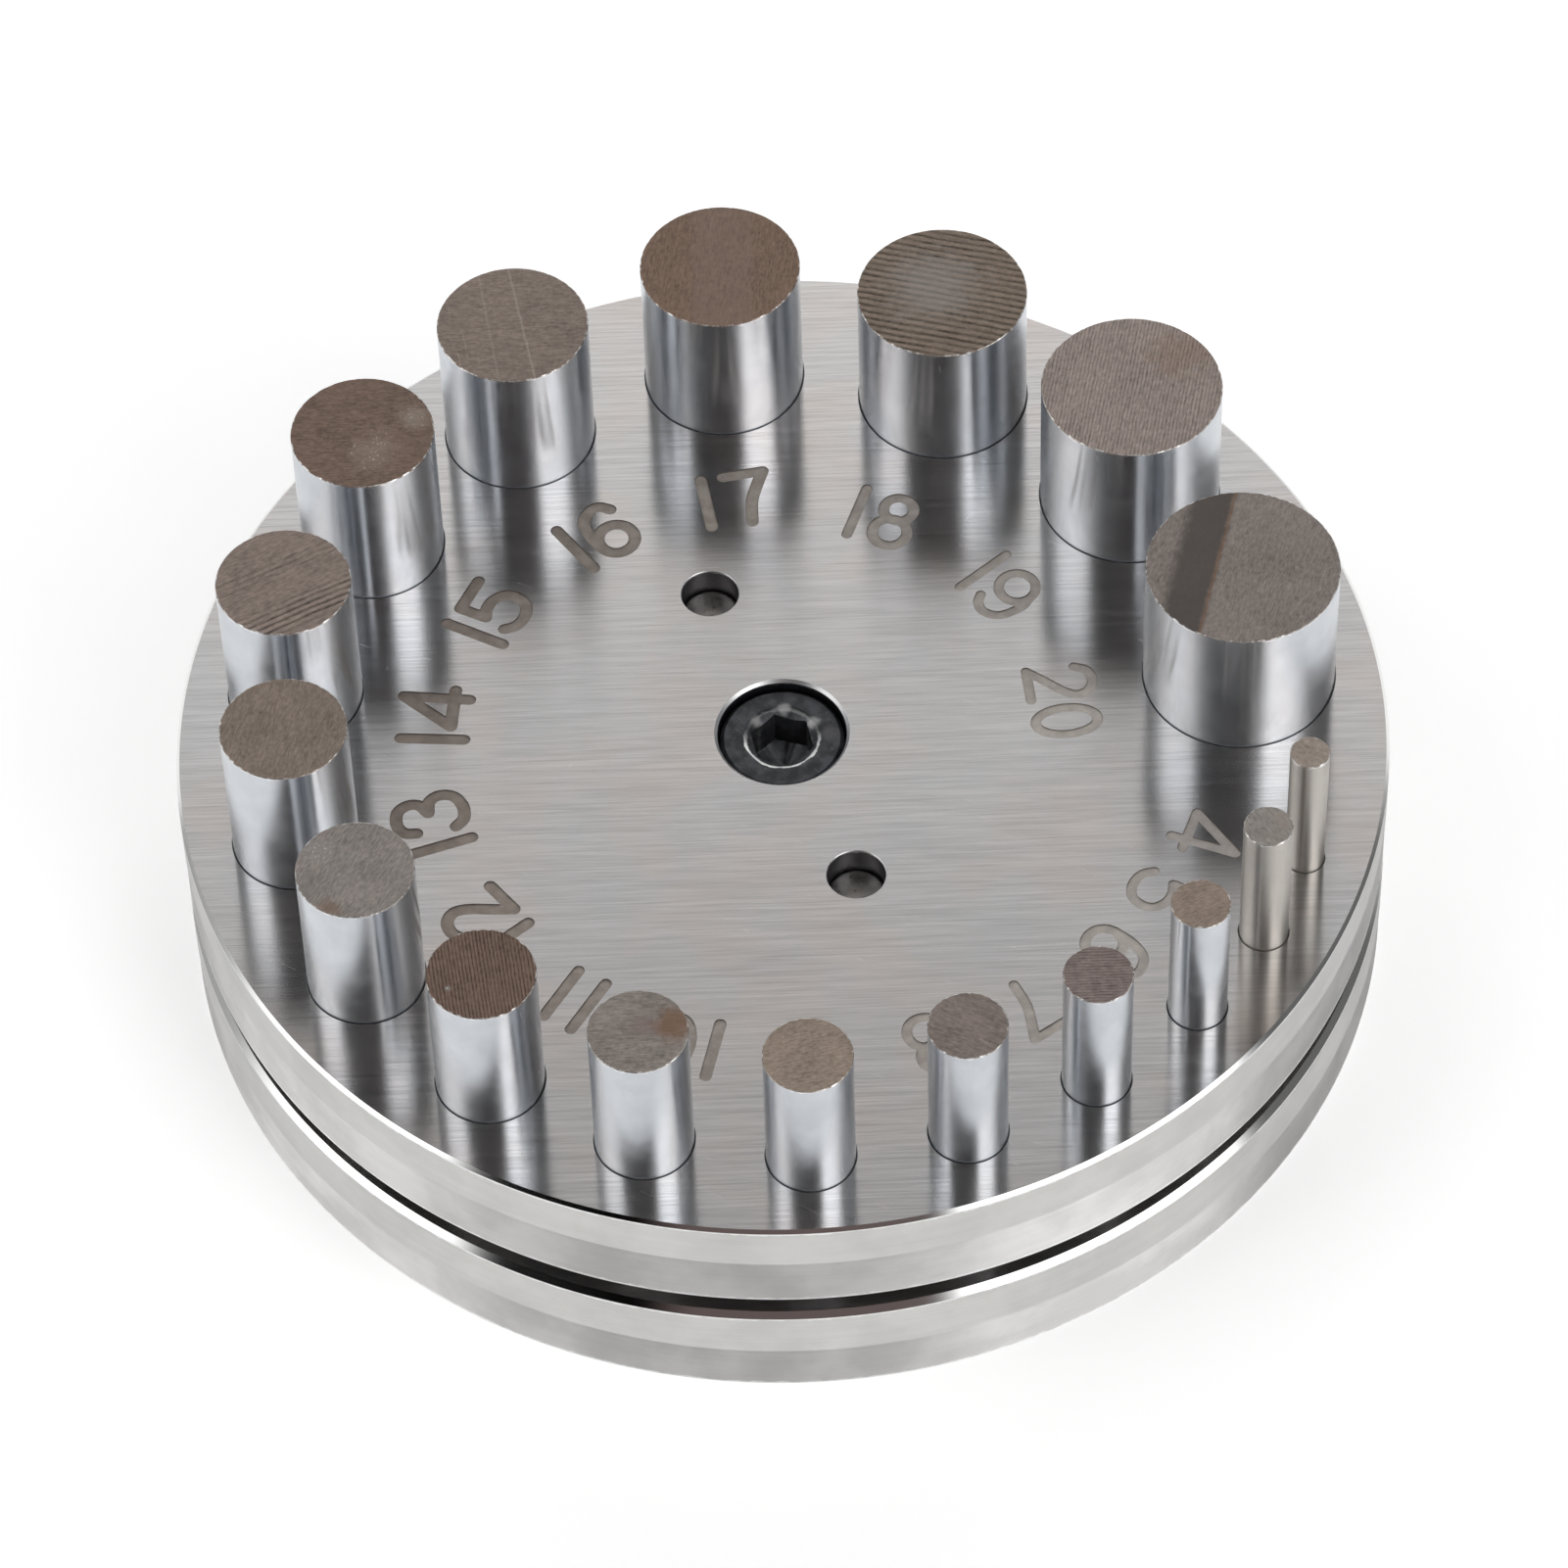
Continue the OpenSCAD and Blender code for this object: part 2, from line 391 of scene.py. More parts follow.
class Scratches(Effect):
    """Sparse thin scratches of one general direction."""

    label = "scratches"
    takes = {"Vector": None, "Angle": 0.0, "Width": 0.1 * MM, "Length": 4 * MM, "Amount": 0.5}
    gives = ("Mask",)
    # How far the scratches bend, and how many bends there are in a metre
    bend, bends = 3 * MM, 40.0
    # The noise that the sparsest scratches start at, how much lower the densest start, and how soft
    # their sides are
    sparse, denser, soft = 0.84, -0.16, 0.06

    def fill(self, graph: Graph, given: Sockets) -> Sockets:
        """Keeps only the peaks of a bent and stretched noise.

        Args:
            graph: The group's own graph.
            given: The group's inputs by name.

        Returns:
            What feeds each of the group's outputs.
        """
        bend = graph.noise(given["Vector"], self.bends, 1.0)
        bent = graph.scaled(graph.join(bend, bend, 0.0), self.bend)
        x, y, z = graph.split(graph.turned(graph.vector("ADD", given["Vector"], bent), given["Angle"]))
        spot = graph.join(graph.math("DIVIDE", x, given["Length"]), graph.math("DIVIDE", y, given["Width"]),
                          graph.math("DIVIDE", z, given["Length"]))
        peaks = graph.noise(spot, 1.0, 1.0, 0.4)
        floor = graph.total(self.sparse, (given["Amount"], self.denser))
        return {"Mask": graph.step(peaks, floor, graph.math("ADD", floor, self.soft))}


class Ribs(Effect):
    """The even ribs that a saw or a lathe tool leaves across a cut end."""

    label = "ribs"
    takes = {"Vector": None, "Angle": 0.0, "Pitch": 0.5 * MM, "Waver": 0.5}
    gives = ("Height", "Groove")

    def fill(self, graph: Graph, given: Sockets) -> Sockets:
        """Bends a sine wave a little and lets its strength come and go.

        Args:
            graph: The group's own graph.
            given: The group's inputs by name.

        Returns:
            What feeds each of the group's outputs.
        """
        x, y, _ = graph.split(graph.turned(given["Vector"], given["Angle"]))
        slow = graph.math("SUBTRACT", graph.noise(given["Vector"], 220.0, 2.0), 0.5)
        across = graph.math("MULTIPLY_ADD", slow, given["Waver"], graph.math("DIVIDE", y, given["Pitch"]))
        wave = graph.math("SINE", graph.math("MULTIPLY", across, math.tau))
        crest = graph.total(0.5, (wave, 0.5))
        along = graph.join(graph.math("MULTIPLY", x, 150.0), graph.math("MULTIPLY", across, 0.6), 0.0)
        strength = graph.step(graph.noise(along, 1.0, 2.0), 0.25, 0.6, 0.35, 1.0)
        trough = graph.math("SUBTRACT", 1.0, crest)
        groove = graph.math("MULTIPLY", graph.math("MULTIPLY", trough, trough), strength)
        return {"Height": graph.math("MULTIPLY", crest, strength), "Groove": groove}


class Mottle(Effect):
    """Soft blotches and small specks."""

    label = "mottle"
    takes = {"Vector": None, "Size": 10 * MM, "Speck": 0.3 * MM}
    gives = ("Stain", "Specks")

    def fill(self, graph: Graph, given: Sockets) -> Sockets:
        """Takes a broad noise for the blotches and the peaks of a fine one for the specks.

        Args:
            graph: The group's own graph.
            given: The group's inputs by name.

        Returns:
            What feeds each of the group's outputs.
        """
        broad = graph.noise(graph.shrunk(given["Vector"], given["Size"]), 1.0, 4.0, 0.55)
        fine = graph.noise(graph.shrunk(given["Vector"], given["Speck"]), 1.0, 1.0)
        return {"Stain": graph.step(broad, 0.35, 0.65), "Specks": graph.step(fine, 0.64, 0.74)}


class EdgeWear(Effect):
    """Bright rubbed steel along the edges that the mesh marks."""

    label = "edge wear"
    takes = {"Vector": None, "Edge": 0.0, "Size": 0.8 * MM, "Amount": 0.5}
    gives = ("Mask",)
    # How much noise breaks the edge up, and how softly the wear ends
    ragged, soft = 1.3, 0.3

    def fill(self, graph: Graph, given: Sockets) -> Sockets:
        """Breaks the marked edge up with noise.

        Args:
            graph: The group's own graph.
            given: The group's inputs by name.

        Returns:
            What feeds each of the group's outputs.
        """
        rough = graph.noise(graph.shrunk(given["Vector"], given["Size"]), 1.0, 3.0, 0.6)
        worn = graph.math("MULTIPLY_ADD", graph.math("SUBTRACT", rough, 0.5), self.ragged, given["Edge"])
        floor = graph.math("SUBTRACT", 1.0, given["Amount"])
        return {"Mask": graph.step(worn, floor, graph.math("ADD", floor, self.soft))}


STRAIGHT_GRAIN = StraightGrain()
TURNED_GRAIN = TurnedGrain()
SCRATCHES = Scratches()
RIBS = Ribs()
MOTTLE = Mottle()
EDGE_WEAR = EdgeWear()


# ---------------------------------------------------------------------------
# Finishes
# ---------------------------------------------------------------------------


class Lay(Enum):
    """The way the tool marks run. Each value is a tangent's axis and its turn."""

    ALONG_X = ("X", 0.0)
    ROUND_Z = ("Z", 0.25)


class Coat:
    """A material under construction: its graph, its surface shader and the place on the object."""

    def __init__(self, name: str, metallic: float = 1.0) -> None:
        """Starts a material.

        Args:
            name: The material's name.
            metallic: 1 for bare metal, less for a coat on it.
        """
        self.material = bpy.data.materials.new(name)
        self.material.use_nodes = True
        self.material.node_tree.nodes.clear()
        self.graph = Graph(self.material.node_tree)
        self.surface = self.graph.node("ShaderNodeBsdfPrincipled", {"Metallic": metallic})
        self.graph.node("ShaderNodeOutputMaterial", {"Surface": self.surface.outputs["BSDF"]})
        self.place = self.graph.node("ShaderNodeTexCoord").outputs["Object"]

    def edge(self) -> Socket:
        """Gives the wear that the mesh marks along its edges."""
        return self.graph.node("ShaderNodeAttribute", attribute_name=Shell.WEAR).outputs["Fac"]

    def shifted(self, x: float, y: float, z: float = 0.0) -> Socket:
        """Gives the place moved by a few metres, so that two textures don't line up."""
        return self.graph.vector("ADD", self.place, (x, y, z))

    def paint(self, colour: Feed, roughness: Feed) -> None:
        """Sets the colour and the roughness.

        Args:
            colour: The base colour.
            roughness: The roughness.
        """
        self.graph.feed(self.surface.inputs["Base Color"], colour)
        self.graph.feed(self.surface.inputs["Roughness"], roughness)

    def stretch(self, lay: Lay, amount: float) -> None:
        """Stretches the reflections across the tool marks.

        Args:
            lay: The way the tool marks run.
            amount: How much the reflections are stretched, from 0 to 1.
        """
        axis, turn = lay.value
        tangent = self.graph.node("ShaderNodeTangent", direction_type="RADIAL", axis=axis)
        self.graph.feed(self.surface.inputs["Tangent"], tangent.outputs[0])
        self.surface.inputs["Anisotropic"].default_value = amount
        self.surface.inputs["Anisotropic Rotation"].default_value = turn

    def relief(self, height: Feed, depth: float) -> None:
        """Gives the surface relief.

        Args:
            height: The relief, from 0 to 1.
            depth: The depth that 1 stands for, in metres.
        """
        bump = self.graph.node("ShaderNodeBump", {"Height": height, "Distance": depth})
        bump.inputs["Strength"].default_value = 1.0
        self.graph.feed(self.surface.inputs["Normal"], bump.outputs["Normal"])


@dataclass(frozen=True)
class GroundFace:
    """A flat face off the surface grinder, with handling marks and faint warm and cool blotches painted in as
    a reflection tint.
    """

    base: Colour = (0.605, 0.585, 0.572)
    # warm and cool are the colours of the painted reflection tint
    warm: Colour = (0.62, 0.575, 0.55)
    cool: Colour = (0.585, 0.59, 0.6)
    roughness: float = 0.22
    stretch: float = 0.92
    pitch: float = 0.15 * MM
    length: float = 9 * MM
    depth: float = 0.0004 * MM
    scratched: float = 0.3

    def material(self, name: str) -> Material:
        """Makes the material.

        Args:
            name: The material's name.

        Returns:
            The material.
        """
        coat = Coat(name)
        graph, place = coat.graph, coat.place
        grain = STRAIGHT_GRAIN.place(graph, vector=place, pitch=self.pitch, length=self.length)
        broad = STRAIGHT_GRAIN.place(graph, vector=place, angle=0.006, pitch=3 * self.pitch,
                                     length=2 * self.length)
        blotches = MOTTLE.place(graph, vector=place, size=17 * MM)
        cool_reflection_tint = MOTTLE.place(graph, vector=coat.shifted(0.3, 0.1, 0.7), size=11 * MM)
        nicks = SCRATCHES.place(graph, vector=place, angle=0.5, width=0.13 * MM, length=5 * MM,
                                amount=self.scratched)
        hairs = SCRATCHES.place(graph, vector=coat.shifted(0.2, 0.5), angle=2.2, width=0.1 * MM,
                                length=3 * MM, amount=0.8 * self.scratched)
        marks = graph.math("MAXIMUM", nicks["Mask"], hairs["Mask"])
        # Warm and cool blotches painted over the steel's tone as a reflection tint
        colour = graph.mix(blotches["Stain"], self.base, self.warm)
        colour = graph.mix(graph.math("MULTIPLY", cool_reflection_tint["Stain"], 0.6), colour, self.cool)
        shade = graph.total(0.47, (grain["Height"], 0.9), (broad["Height"], 0.14), (grain["Deep"], -0.1),
                            (marks, 0.1))
        rough = graph.total(self.roughness - 0.05, (broad["Height"], 0.1), (marks, 0.12))
        coat.paint(graph.scaled(colour, shade), rough)
        coat.relief(graph.total(grain["Height"], (marks, -1.5)), self.depth)
        coat.stretch(Lay.ALONG_X, self.stretch)
        return coat.material


@dataclass(frozen=True)
class TurnedRim:
    """A rim off the lathe, with rubbed edges."""

    base: Colour = (0.60, 0.60, 0.59)
    rubbed: Colour = (0.82, 0.82, 0.81)
    roughness: float = 0.34
    stretch: float = 0.6
    pitch: float = 0.12 * MM
    depth: float = 0.0012 * MM
    smears: float = 0.1
    glancing: Colour = (0.7, 0.7, 0.7)

    def material(self, name: str) -> Material:
        """Makes the material.

        Args:
            name: The material's name.

        Returns:
            The material.
        """
        coat = Coat(name)
        graph, place = coat.graph, coat.place
        grain = TURNED_GRAIN.place(graph, vector=place, pitch=self.pitch, runs=2.5)
        broad = TURNED_GRAIN.place(graph, vector=coat.shifted(0.0, 0.0, 0.4), pitch=9 * self.pitch, runs=5.0)
        smear = MOTTLE.place(graph, vector=place, size=9 * MM, speck=0.4 * MM)
        worn = EDGE_WEAR.place(graph, vector=place, edge=coat.edge(), size=1.3 * MM, amount=0.55)
        shade = graph.total(0.84, (grain["Height"], 0.2), (broad["Height"], 0.12),
                            (smear["Stain"], -self.smears))
        rough = graph.total(self.roughness - 0.06, (grain["Height"], 0.12), (worn["Mask"], -0.1))
        coat.paint(graph.mix(worn["Mask"], graph.scaled(self.base, shade), self.rubbed), rough)
        coat.relief(grain["Height"], self.depth)
        coat.stretch(Lay.ROUND_Z, self.stretch)
        coat.surface.inputs["Specular Tint"].default_value = (*self.glancing, 1.0)
        return coat.material


@dataclass(frozen=True)
class Barrel:
    """The ground and lapped side of a punch."""

    base: Colour = (0.61, 0.635, 0.67)
    rubbed: Colour = (0.85, 0.86, 0.88)
    roughness: float = 0.2
    stretch: float = 0.85
    marked: float = 0.2
    depth: float = 0.0001 * MM

    def material(self, name: str) -> Material:
        """Makes the material.

        Args:
            name: The material's name.

        Returns:
            The material.
        """
        coat = Coat(name)
        graph, place = coat.graph, coat.place
        blotches = MOTTLE.place(graph, vector=place, size=4 * MM, speck=0.22 * MM)
        x, y, z = graph.split(place)
        # With height first, grain that is placed there runs upwards
        upright = graph.join(z, x, y)
        lines = STRAIGHT_GRAIN.place(graph, vector=upright, pitch=0.18 * MM, length=6 * MM)
        rubs = SCRATCHES.place(graph, vector=upright, angle=0.06, width=0.1 * MM, length=4 * MM,
                               amount=self.marked)
        worn = EDGE_WEAR.place(graph, vector=place, edge=coat.edge(), size=0.7 * MM, amount=0.6)
        shade = graph.total(0.93, (lines["Height"], 0.1), (blotches["Stain"], -0.05), (blotches["Specks"], -0.12),
                            (rubs["Mask"], 0.12))
        rough = graph.total(self.roughness, (blotches["Stain"], 0.05), (rubs["Mask"], 0.15))
        coat.paint(graph.mix(worn["Mask"], graph.scaled(self.base, shade), self.rubbed), rough)
        coat.relief(graph.total(lines["Height"], (rubs["Mask"], -1.0)), self.depth)
        coat.stretch(Lay.ROUND_Z, self.stretch)
        return coat.material


@dataclass(frozen=True)
class Patch:
    """A soft stain or rubbed spot on a punch's end, placed from its middle in shares of its radius."""

    x: float
    y: float
    size: float
    tone: Colour
    strength: float = 0.8
    sparks: float = 0.0
    spark_tone: Colour = (0.85, 0.84, 0.82)
    # How ragged the outline is, and the distances between which the patch comes in
    ragged: float = 1.4
    fade: tuple[float, float] = (1.75, 0.9)

    def over(self, graph: Graph, local: Feed, radius: float, colour: Feed) -> Socket:
        """Puts the patch over a colour.

        Args:
            graph: The material's graph.
            local: The place from the middle of the punch's end.
            radius: The punch's radius.
            colour: The colour under it.

        Returns:
            The colour with the patch.
        """
        x, y, _ = graph.split(graph.vector("SUBTRACT", local, (self.x * radius, self.y * radius, 0.0)))
        away = graph.math("SQRT", graph.math("MULTIPLY_ADD", x, x, graph.math("MULTIPLY", y, y)))
        rough = graph.noise(local, 700.0, 3.0, 0.65)
        share = graph.math("DIVIDE", away, self.size * radius)
        mask = graph.step(graph.total(share, (rough, self.ragged)), *self.fade, 0.0, self.strength)
        colour = graph.mix(mask, colour, self.tone)
        if self.sparks:
            specks = MOTTLE.place(graph, vector=local, size=radius, speck=0.24 * MM)["Specks"]
            lit = graph.math("MULTIPLY", graph.math("MULTIPLY", specks, mask), self.sparks)
            colour = graph.mix(lit, colour, self.spark_tone)
        return colour


@dataclass(frozen=True)
class Band:
    """A stretch across a punch's end between two lines, placed from its middle in shares of its radius."""

    lay: float
    start: float
    end: float
    tone: Colour
    strength: float = 0.8
    soft: float = 0.1
    # How many times softer the far line is
    softer: float = 1.8

    def over(self, graph: Graph, local: Feed, radius: float, colour: Feed) -> Socket:
        """Puts the band over a colour.

        Args:
            graph: The material's graph.
            local: The place from the middle of the punch's end.
            radius: The punch's radius.
            colour: The colour under it.

        Returns:
            The colour with the band.
        """
        _, y, _ = graph.split(graph.turned(local, -math.radians(self.lay)))
        share = graph.total(graph.math("DIVIDE", y, radius), (graph.noise(local, 900.0, 3.0), self.soft))
        entry = graph.step(share, self.start, self.start + self.soft)
        leave = graph.step(share, self.end + self.softer * self.soft, self.end, 0.0, self.strength)
        return graph.mix(graph.math("MULTIPLY", entry, leave), colour, self.tone)


@dataclass(frozen=True)
class StruckEnd:
    """The brownish, sawn or ground end of a punch."""

    tone: Colour
    lay: float = 0.0
    ribs: float = 0.0
    rib_lay: float = 90.0
    pitch: float = 0.4 * MM
    # Where the ribs run across the end and how strong they are there, and how softly that changes
    spans: tuple[tuple[float, float, float], ...] = ((-2.0, 2.0, 1.0),)
    span_soft: float = 0.2
    scratched: float = 0.3
    scratch_lay: float = 60.0
    marks: tuple[Patch | Band, ...] = ()
    rubbed: Colour = (0.78, 0.77, 0.75)
    roughness: float = 0.5
    depth: float = 0.01 * MM

    def material(self, name: str, centre: Flat, radius: float) -> Material:
        """Makes the material.

        Args:
            name: The material's name.
            centre: The punch's middle.
            radius: The punch's radius.

        Returns:
            The material.
        """
        coat = Coat(name)
        graph, place = coat.graph, coat.place
        local = coat.shifted(-centre[0], -centre[1])
        grain = STRAIGHT_GRAIN.place(graph, vector=place, angle=-math.radians(self.lay), pitch=0.13 * MM,
                                     length=1.0 * MM)
        blotches = MOTTLE.place(graph, vector=place, size=0.8 * radius, speck=0.3 * MM)
        bloom = MOTTLE.place(graph, vector=coat.shifted(0.6, 0.2), size=0.45 * MM, speck=0.2 * MM)
        nicks = SCRATCHES.place(graph, vector=place, angle=-math.radians(self.scratch_lay),
                                width=0.12 * MM, length=6 * MM, amount=self.scratched)
        worn = EDGE_WEAR.place(graph, vector=place, edge=coat.edge(), size=0.6 * MM, amount=0.38)
        shade = graph.total(-0.02, (grain["Height"], 1.5), (blotches["Stain"], 0.16), (bloom["Stain"], 0.14),
                            (bloom["Specks"], -0.15), (nicks["Mask"], 0.4))
        relief = graph.total(graph.math("MULTIPLY", grain["Height"], 0.3), (nicks["Mask"], -0.4))
        if self.ribs:
            cut = RIBS.place(graph, vector=local, angle=-math.radians(self.rib_lay), pitch=self.pitch)
            strength = graph.math("MULTIPLY", self._ribbed(graph, local, radius), self.ribs)
            groove, crest = (graph.math("MULTIPLY", cut[part], strength) for part in ("Groove", "Height"))
            shade = graph.total(shade, (groove, -0.5), (crest, 0.2))
            relief = graph.total(relief, (crest, 1.0))
        colour = graph.scaled(self.tone, shade)
        for mark in self.marks:
            colour = mark.over(graph, local, radius, colour)
        rough = graph.total(self.roughness, (worn["Mask"], -0.2), (blotches["Stain"], 0.08))
        coat.paint(graph.mix(worn["Mask"], colour, self.rubbed), rough)
        coat.relief(relief, self.depth)
        return coat.material

    def _ribbed(self, graph: Graph, local: Feed, radius: float) -> Feed:
        """Gives how strong the ribs are, with 0 where the end was ground smooth.

        Args:
            graph: The material's graph.
            local: The place from the middle of the punch's end.
            radius: The punch's radius.

        Returns:
            The mask.
        """
        _, y, _ = graph.split(graph.turned(local, -math.radians(self.rib_lay)))
        share = graph.total(graph.math("DIVIDE", y, radius), (graph.noise(local, 500.0), self.span_soft))
        ribbed: Feed = 0.0
        for start, end, strength in self.spans:
            entry = graph.step(share, start, start + self.span_soft)
            leave = graph.step(share, end + self.span_soft, end, 0.0, strength)
            ribbed = graph.math("MAXIMUM", ribbed, graph.math("MULTIPLY", entry, leave))
        return ribbed


@dataclass(frozen=True)
class Blacked:
    """Black oxide on steel, scuffed to bare metal at the edges, the near side's edges barer still as a
    painted highlight.
    """

    reach: float = 6.5 * MM
    base: Colour = (0.035, 0.036, 0.04)
    nicked: Colour = (0.16, 0.16, 0.165)
    # This colour also shows the painted highlight on the near side's edges
    bare: Colour = (0.6, 0.6, 0.59)
    roughness: float = 0.36
    scuffed: float = 0.45
    # The far side's share of the bare edges (wear and painted highlight), and how far from the middle it
    # starts to change
    spared: float = 0.15
    turnover: float = 1.2 * MM
    scuffs: tuple[Patch, ...] = (
        Patch(-0.42, 0.36, 0.12, (0.3, 0.3, 0.3), 0.9),
        Patch(0.05, 0.6, 0.13, (0.3, 0.3, 0.3), 0.9),
        Patch(0.52, 0.3, 0.14, (0.3, 0.3, 0.3), 0.9),
        Patch(0.75, 0.05, 0.2, (0.09, 0.09, 0.095), 0.7),
    )

    def material(self, name: str) -> Material:
        """Makes the material.

        Args:
            name: The material's name.

        Returns:
            The material.
        """
        coat = Coat(name)
        graph, place = coat.graph, coat.place
        grain = TURNED_GRAIN.place(graph, vector=place, pitch=0.15 * MM, runs=4.0)
        mottle = MOTTLE.place(graph, vector=place, size=1.6 * MM, speck=0.3 * MM)
        nicks = SCRATCHES.place(graph, vector=place, angle=0.9, width=0.12 * MM, length=1.2 * MM, amount=0.9)
        edges = EDGE_WEAR.place(graph, vector=place, edge=coat.edge(), size=0.9 * MM, amount=self.scuffed)
        _, y, _ = graph.split(place)
        # Bare edges are real wear, made stronger on the near (-Y) side as a painted highlight
        near = graph.step(y, self.turnover, -self.turnover, self.spared, 1.0)
        worn = graph.math("MULTIPLY", edges["Mask"], near)
        shade = graph.total(0.5, (mottle["Stain"], 1.0), (mottle["Specks"], 0.6), (grain["Height"], 0.5))
        colour = graph.scaled(self.base, shade)
        colour = graph.mix(graph.math("MULTIPLY", nicks["Mask"], 0.5), colour, self.nicked)
        for scuff in self.scuffs:
            colour = scuff.over(graph, place, self.reach, colour)
        graph.feed(coat.surface.inputs["Metallic"], graph.total(0.6, (worn, 0.4)))
        coat.paint(graph.mix(worn, colour, self.bare), graph.total(self.roughness, (mottle["Stain"], 0.08)))
        coat.relief(graph.total(grain["Height"], (mottle["Specks"], -0.5)), 0.003 * MM)
        return coat.material


@dataclass(frozen=True)
class Etched:
    """The dull floor of an etched numeral, browner towards the large punches on the left."""

    brown: Colour = (0.275, 0.23, 0.197)
    grey: Colour = (0.52, 0.482, 0.45)
    spread: float = 42 * MM
    roughness: float = 0.7

    def material(self, name: str) -> Material:
        """Makes the material.

        Args:
            name: The material's name.

        Returns:
            The material.
        """
        coat = Coat(name, metallic=0.85)
        graph, place = coat.graph, coat.place
        mottle = MOTTLE.place(graph, vector=place, size=1.6 * MM, speck=0.18 * MM)
        grain = STRAIGHT_GRAIN.place(graph, vector=place, pitch=0.22 * MM, length=2 * MM)
        shade = graph.total(0.86, (mottle["Stain"], 0.16), (mottle["Specks"], 0.25), (grain["Height"], 0.12))
        x, _, _ = graph.split(place)
        share = graph.total(0.5, (graph.math("DIVIDE", x, self.spread), 0.5), (mottle["Stain"], 0.1))
        colour = graph.mix(share, self.brown, self.grey)
        coat.paint(graph.scaled(colour, shade), self.roughness)
        coat.relief(mottle["Specks"], 0.01 * MM)
        return coat.material


@dataclass(frozen=True)
class Bored:
    """The inside of a bore, seldom seen. Its default dark colour is painted shade."""

    # A dark steel tone as painted shade inside the bore; the rubbed edges keep the steel's own tone
    base: Colour = (0.2, 0.2, 0.22)
    rubbed: Colour = (0.62, 0.62, 0.62)
    roughness: float = 0.3

    def material(self, name: str) -> Material:
        """Makes the material.

        Args:
            name: The material's name.

        Returns:
            The material.
        """
        coat = Coat(name)
        graph, place = coat.graph, coat.place
        grain = STRAIGHT_GRAIN.place(graph, vector=place, pitch=0.15 * MM, length=0.6 * MM)
        worn = EDGE_WEAR.place(graph, vector=place, edge=coat.edge(), size=0.7 * MM, amount=0.55)
        shade = graph.total(0.75, (grain["Height"], 0.5))
        rough = graph.total(self.roughness, (worn["Mask"], 0.06))
        coat.paint(graph.mix(worn["Mask"], graph.scaled(self.base, shade), self.rubbed), rough)
        coat.relief(grain["Height"], 0.002 * MM)
        return coat.material


@dataclass(frozen=True)
class PinSteel:
    """Hardened pin steel with a speckled, slightly rusty end."""

    base: Colour = (0.36, 0.34, 0.32)
    rusty: Colour = (0.14, 0.1, 0.08)
    roughness: float = 0.4

    def material(self, name: str) -> Material:
        """Makes the material.

        Args:
            name: The material's name.

        Returns:
            The material.
        """
        coat = Coat(name)
        graph, place = coat.graph, coat.place
        mottle = MOTTLE.place(graph, vector=place, size=1.1 * MM, speck=0.3 * MM)
        finer = MOTTLE.place(graph, vector=coat.shifted(0.3, 0.3), size=0.5 * MM, speck=0.16 * MM)
        shade = graph.total(0.75, (mottle["Stain"], 0.3), (finer["Specks"], 0.35))
        rust = graph.math("MULTIPLY", mottle["Specks"], 0.8)
        colour = graph.mix(rust, graph.scaled(self.base, shade), self.rusty)
        coat.paint(colour, graph.total(self.roughness, (mottle["Stain"], 0.1)))
        coat.relief(graph.math("ADD", mottle["Stain"], finer["Specks"]), 0.01 * MM)
        return coat.material


@dataclass(frozen=True)
class SpringWire:
    """Drawn spring wire with a grey bloom."""

    base: Colour = (0.3, 0.3, 0.31)
    roughness: float = 0.35

    def material(self, name: str) -> Material:
        """Makes the material.

        Args:
            name: The material's name.

        Returns:
            The material.
        """
        coat = Coat(name)
        graph, place = coat.graph, coat.place
        mottle = MOTTLE.place(graph, vector=place, size=1.5 * MM, speck=0.2 * MM)
        shade = graph.total(0.8, (mottle["Stain"], 0.3))
        coat.paint(graph.scaled(self.base, shade), graph.total(self.roughness, (mottle["Specks"], 0.2)))
        coat.relief(mottle["Specks"], 0.004 * MM)
        return coat.material


# ---------------------------------------------------------------------------
# Meshes
# ---------------------------------------------------------------------------


class Stop(NamedTuple):
    """A ring on a turned surface. Its finish and wear are those of the band that leads to it."""

    radius: Reach
    z: Reach
    finish: int = 0
    wear: float = 0.0


@dataclass(frozen=True)
class Hole:
    """A hole through a plate, as rings from the upper face down to the lower one."""

    centre: Flat
    stops: tuple[Stop, ...]

    @property
    def sides(self) -> int:
        """Gives the number of points round the hole."""
        return round_sides(self.stops[0].radius)


def round_sides(radius: float) -> int:
    """Gives a number of points that keeps a circle round."""
    return 64 if radius < 3.5 * MM else 96 if radius < 7 * MM else 128


def polar(radius: float, angle: float, centre: Flat = (0.0, 0.0)) -> Flat:
    """Gives the point at a distance and an angle, in radians, from a centre."""
    return centre[0] + radius * math.cos(angle), centre[1] + radius * math.sin(angle)


def circle(centre: Flat, radius: float, count: int) -> list[Flat]:
    """Gives points round a circle, anticlockwise from the X axis."""
    return [polar(radius, math.tau * step / count, centre) for step in range(count)]


def middle_of(node: str) -> Flat:
    """Gives the middle of a node's box, seen from above."""
    low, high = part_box(node)
    return (low[0] + high[0]) / 2, (low[1] + high[1]) / 2


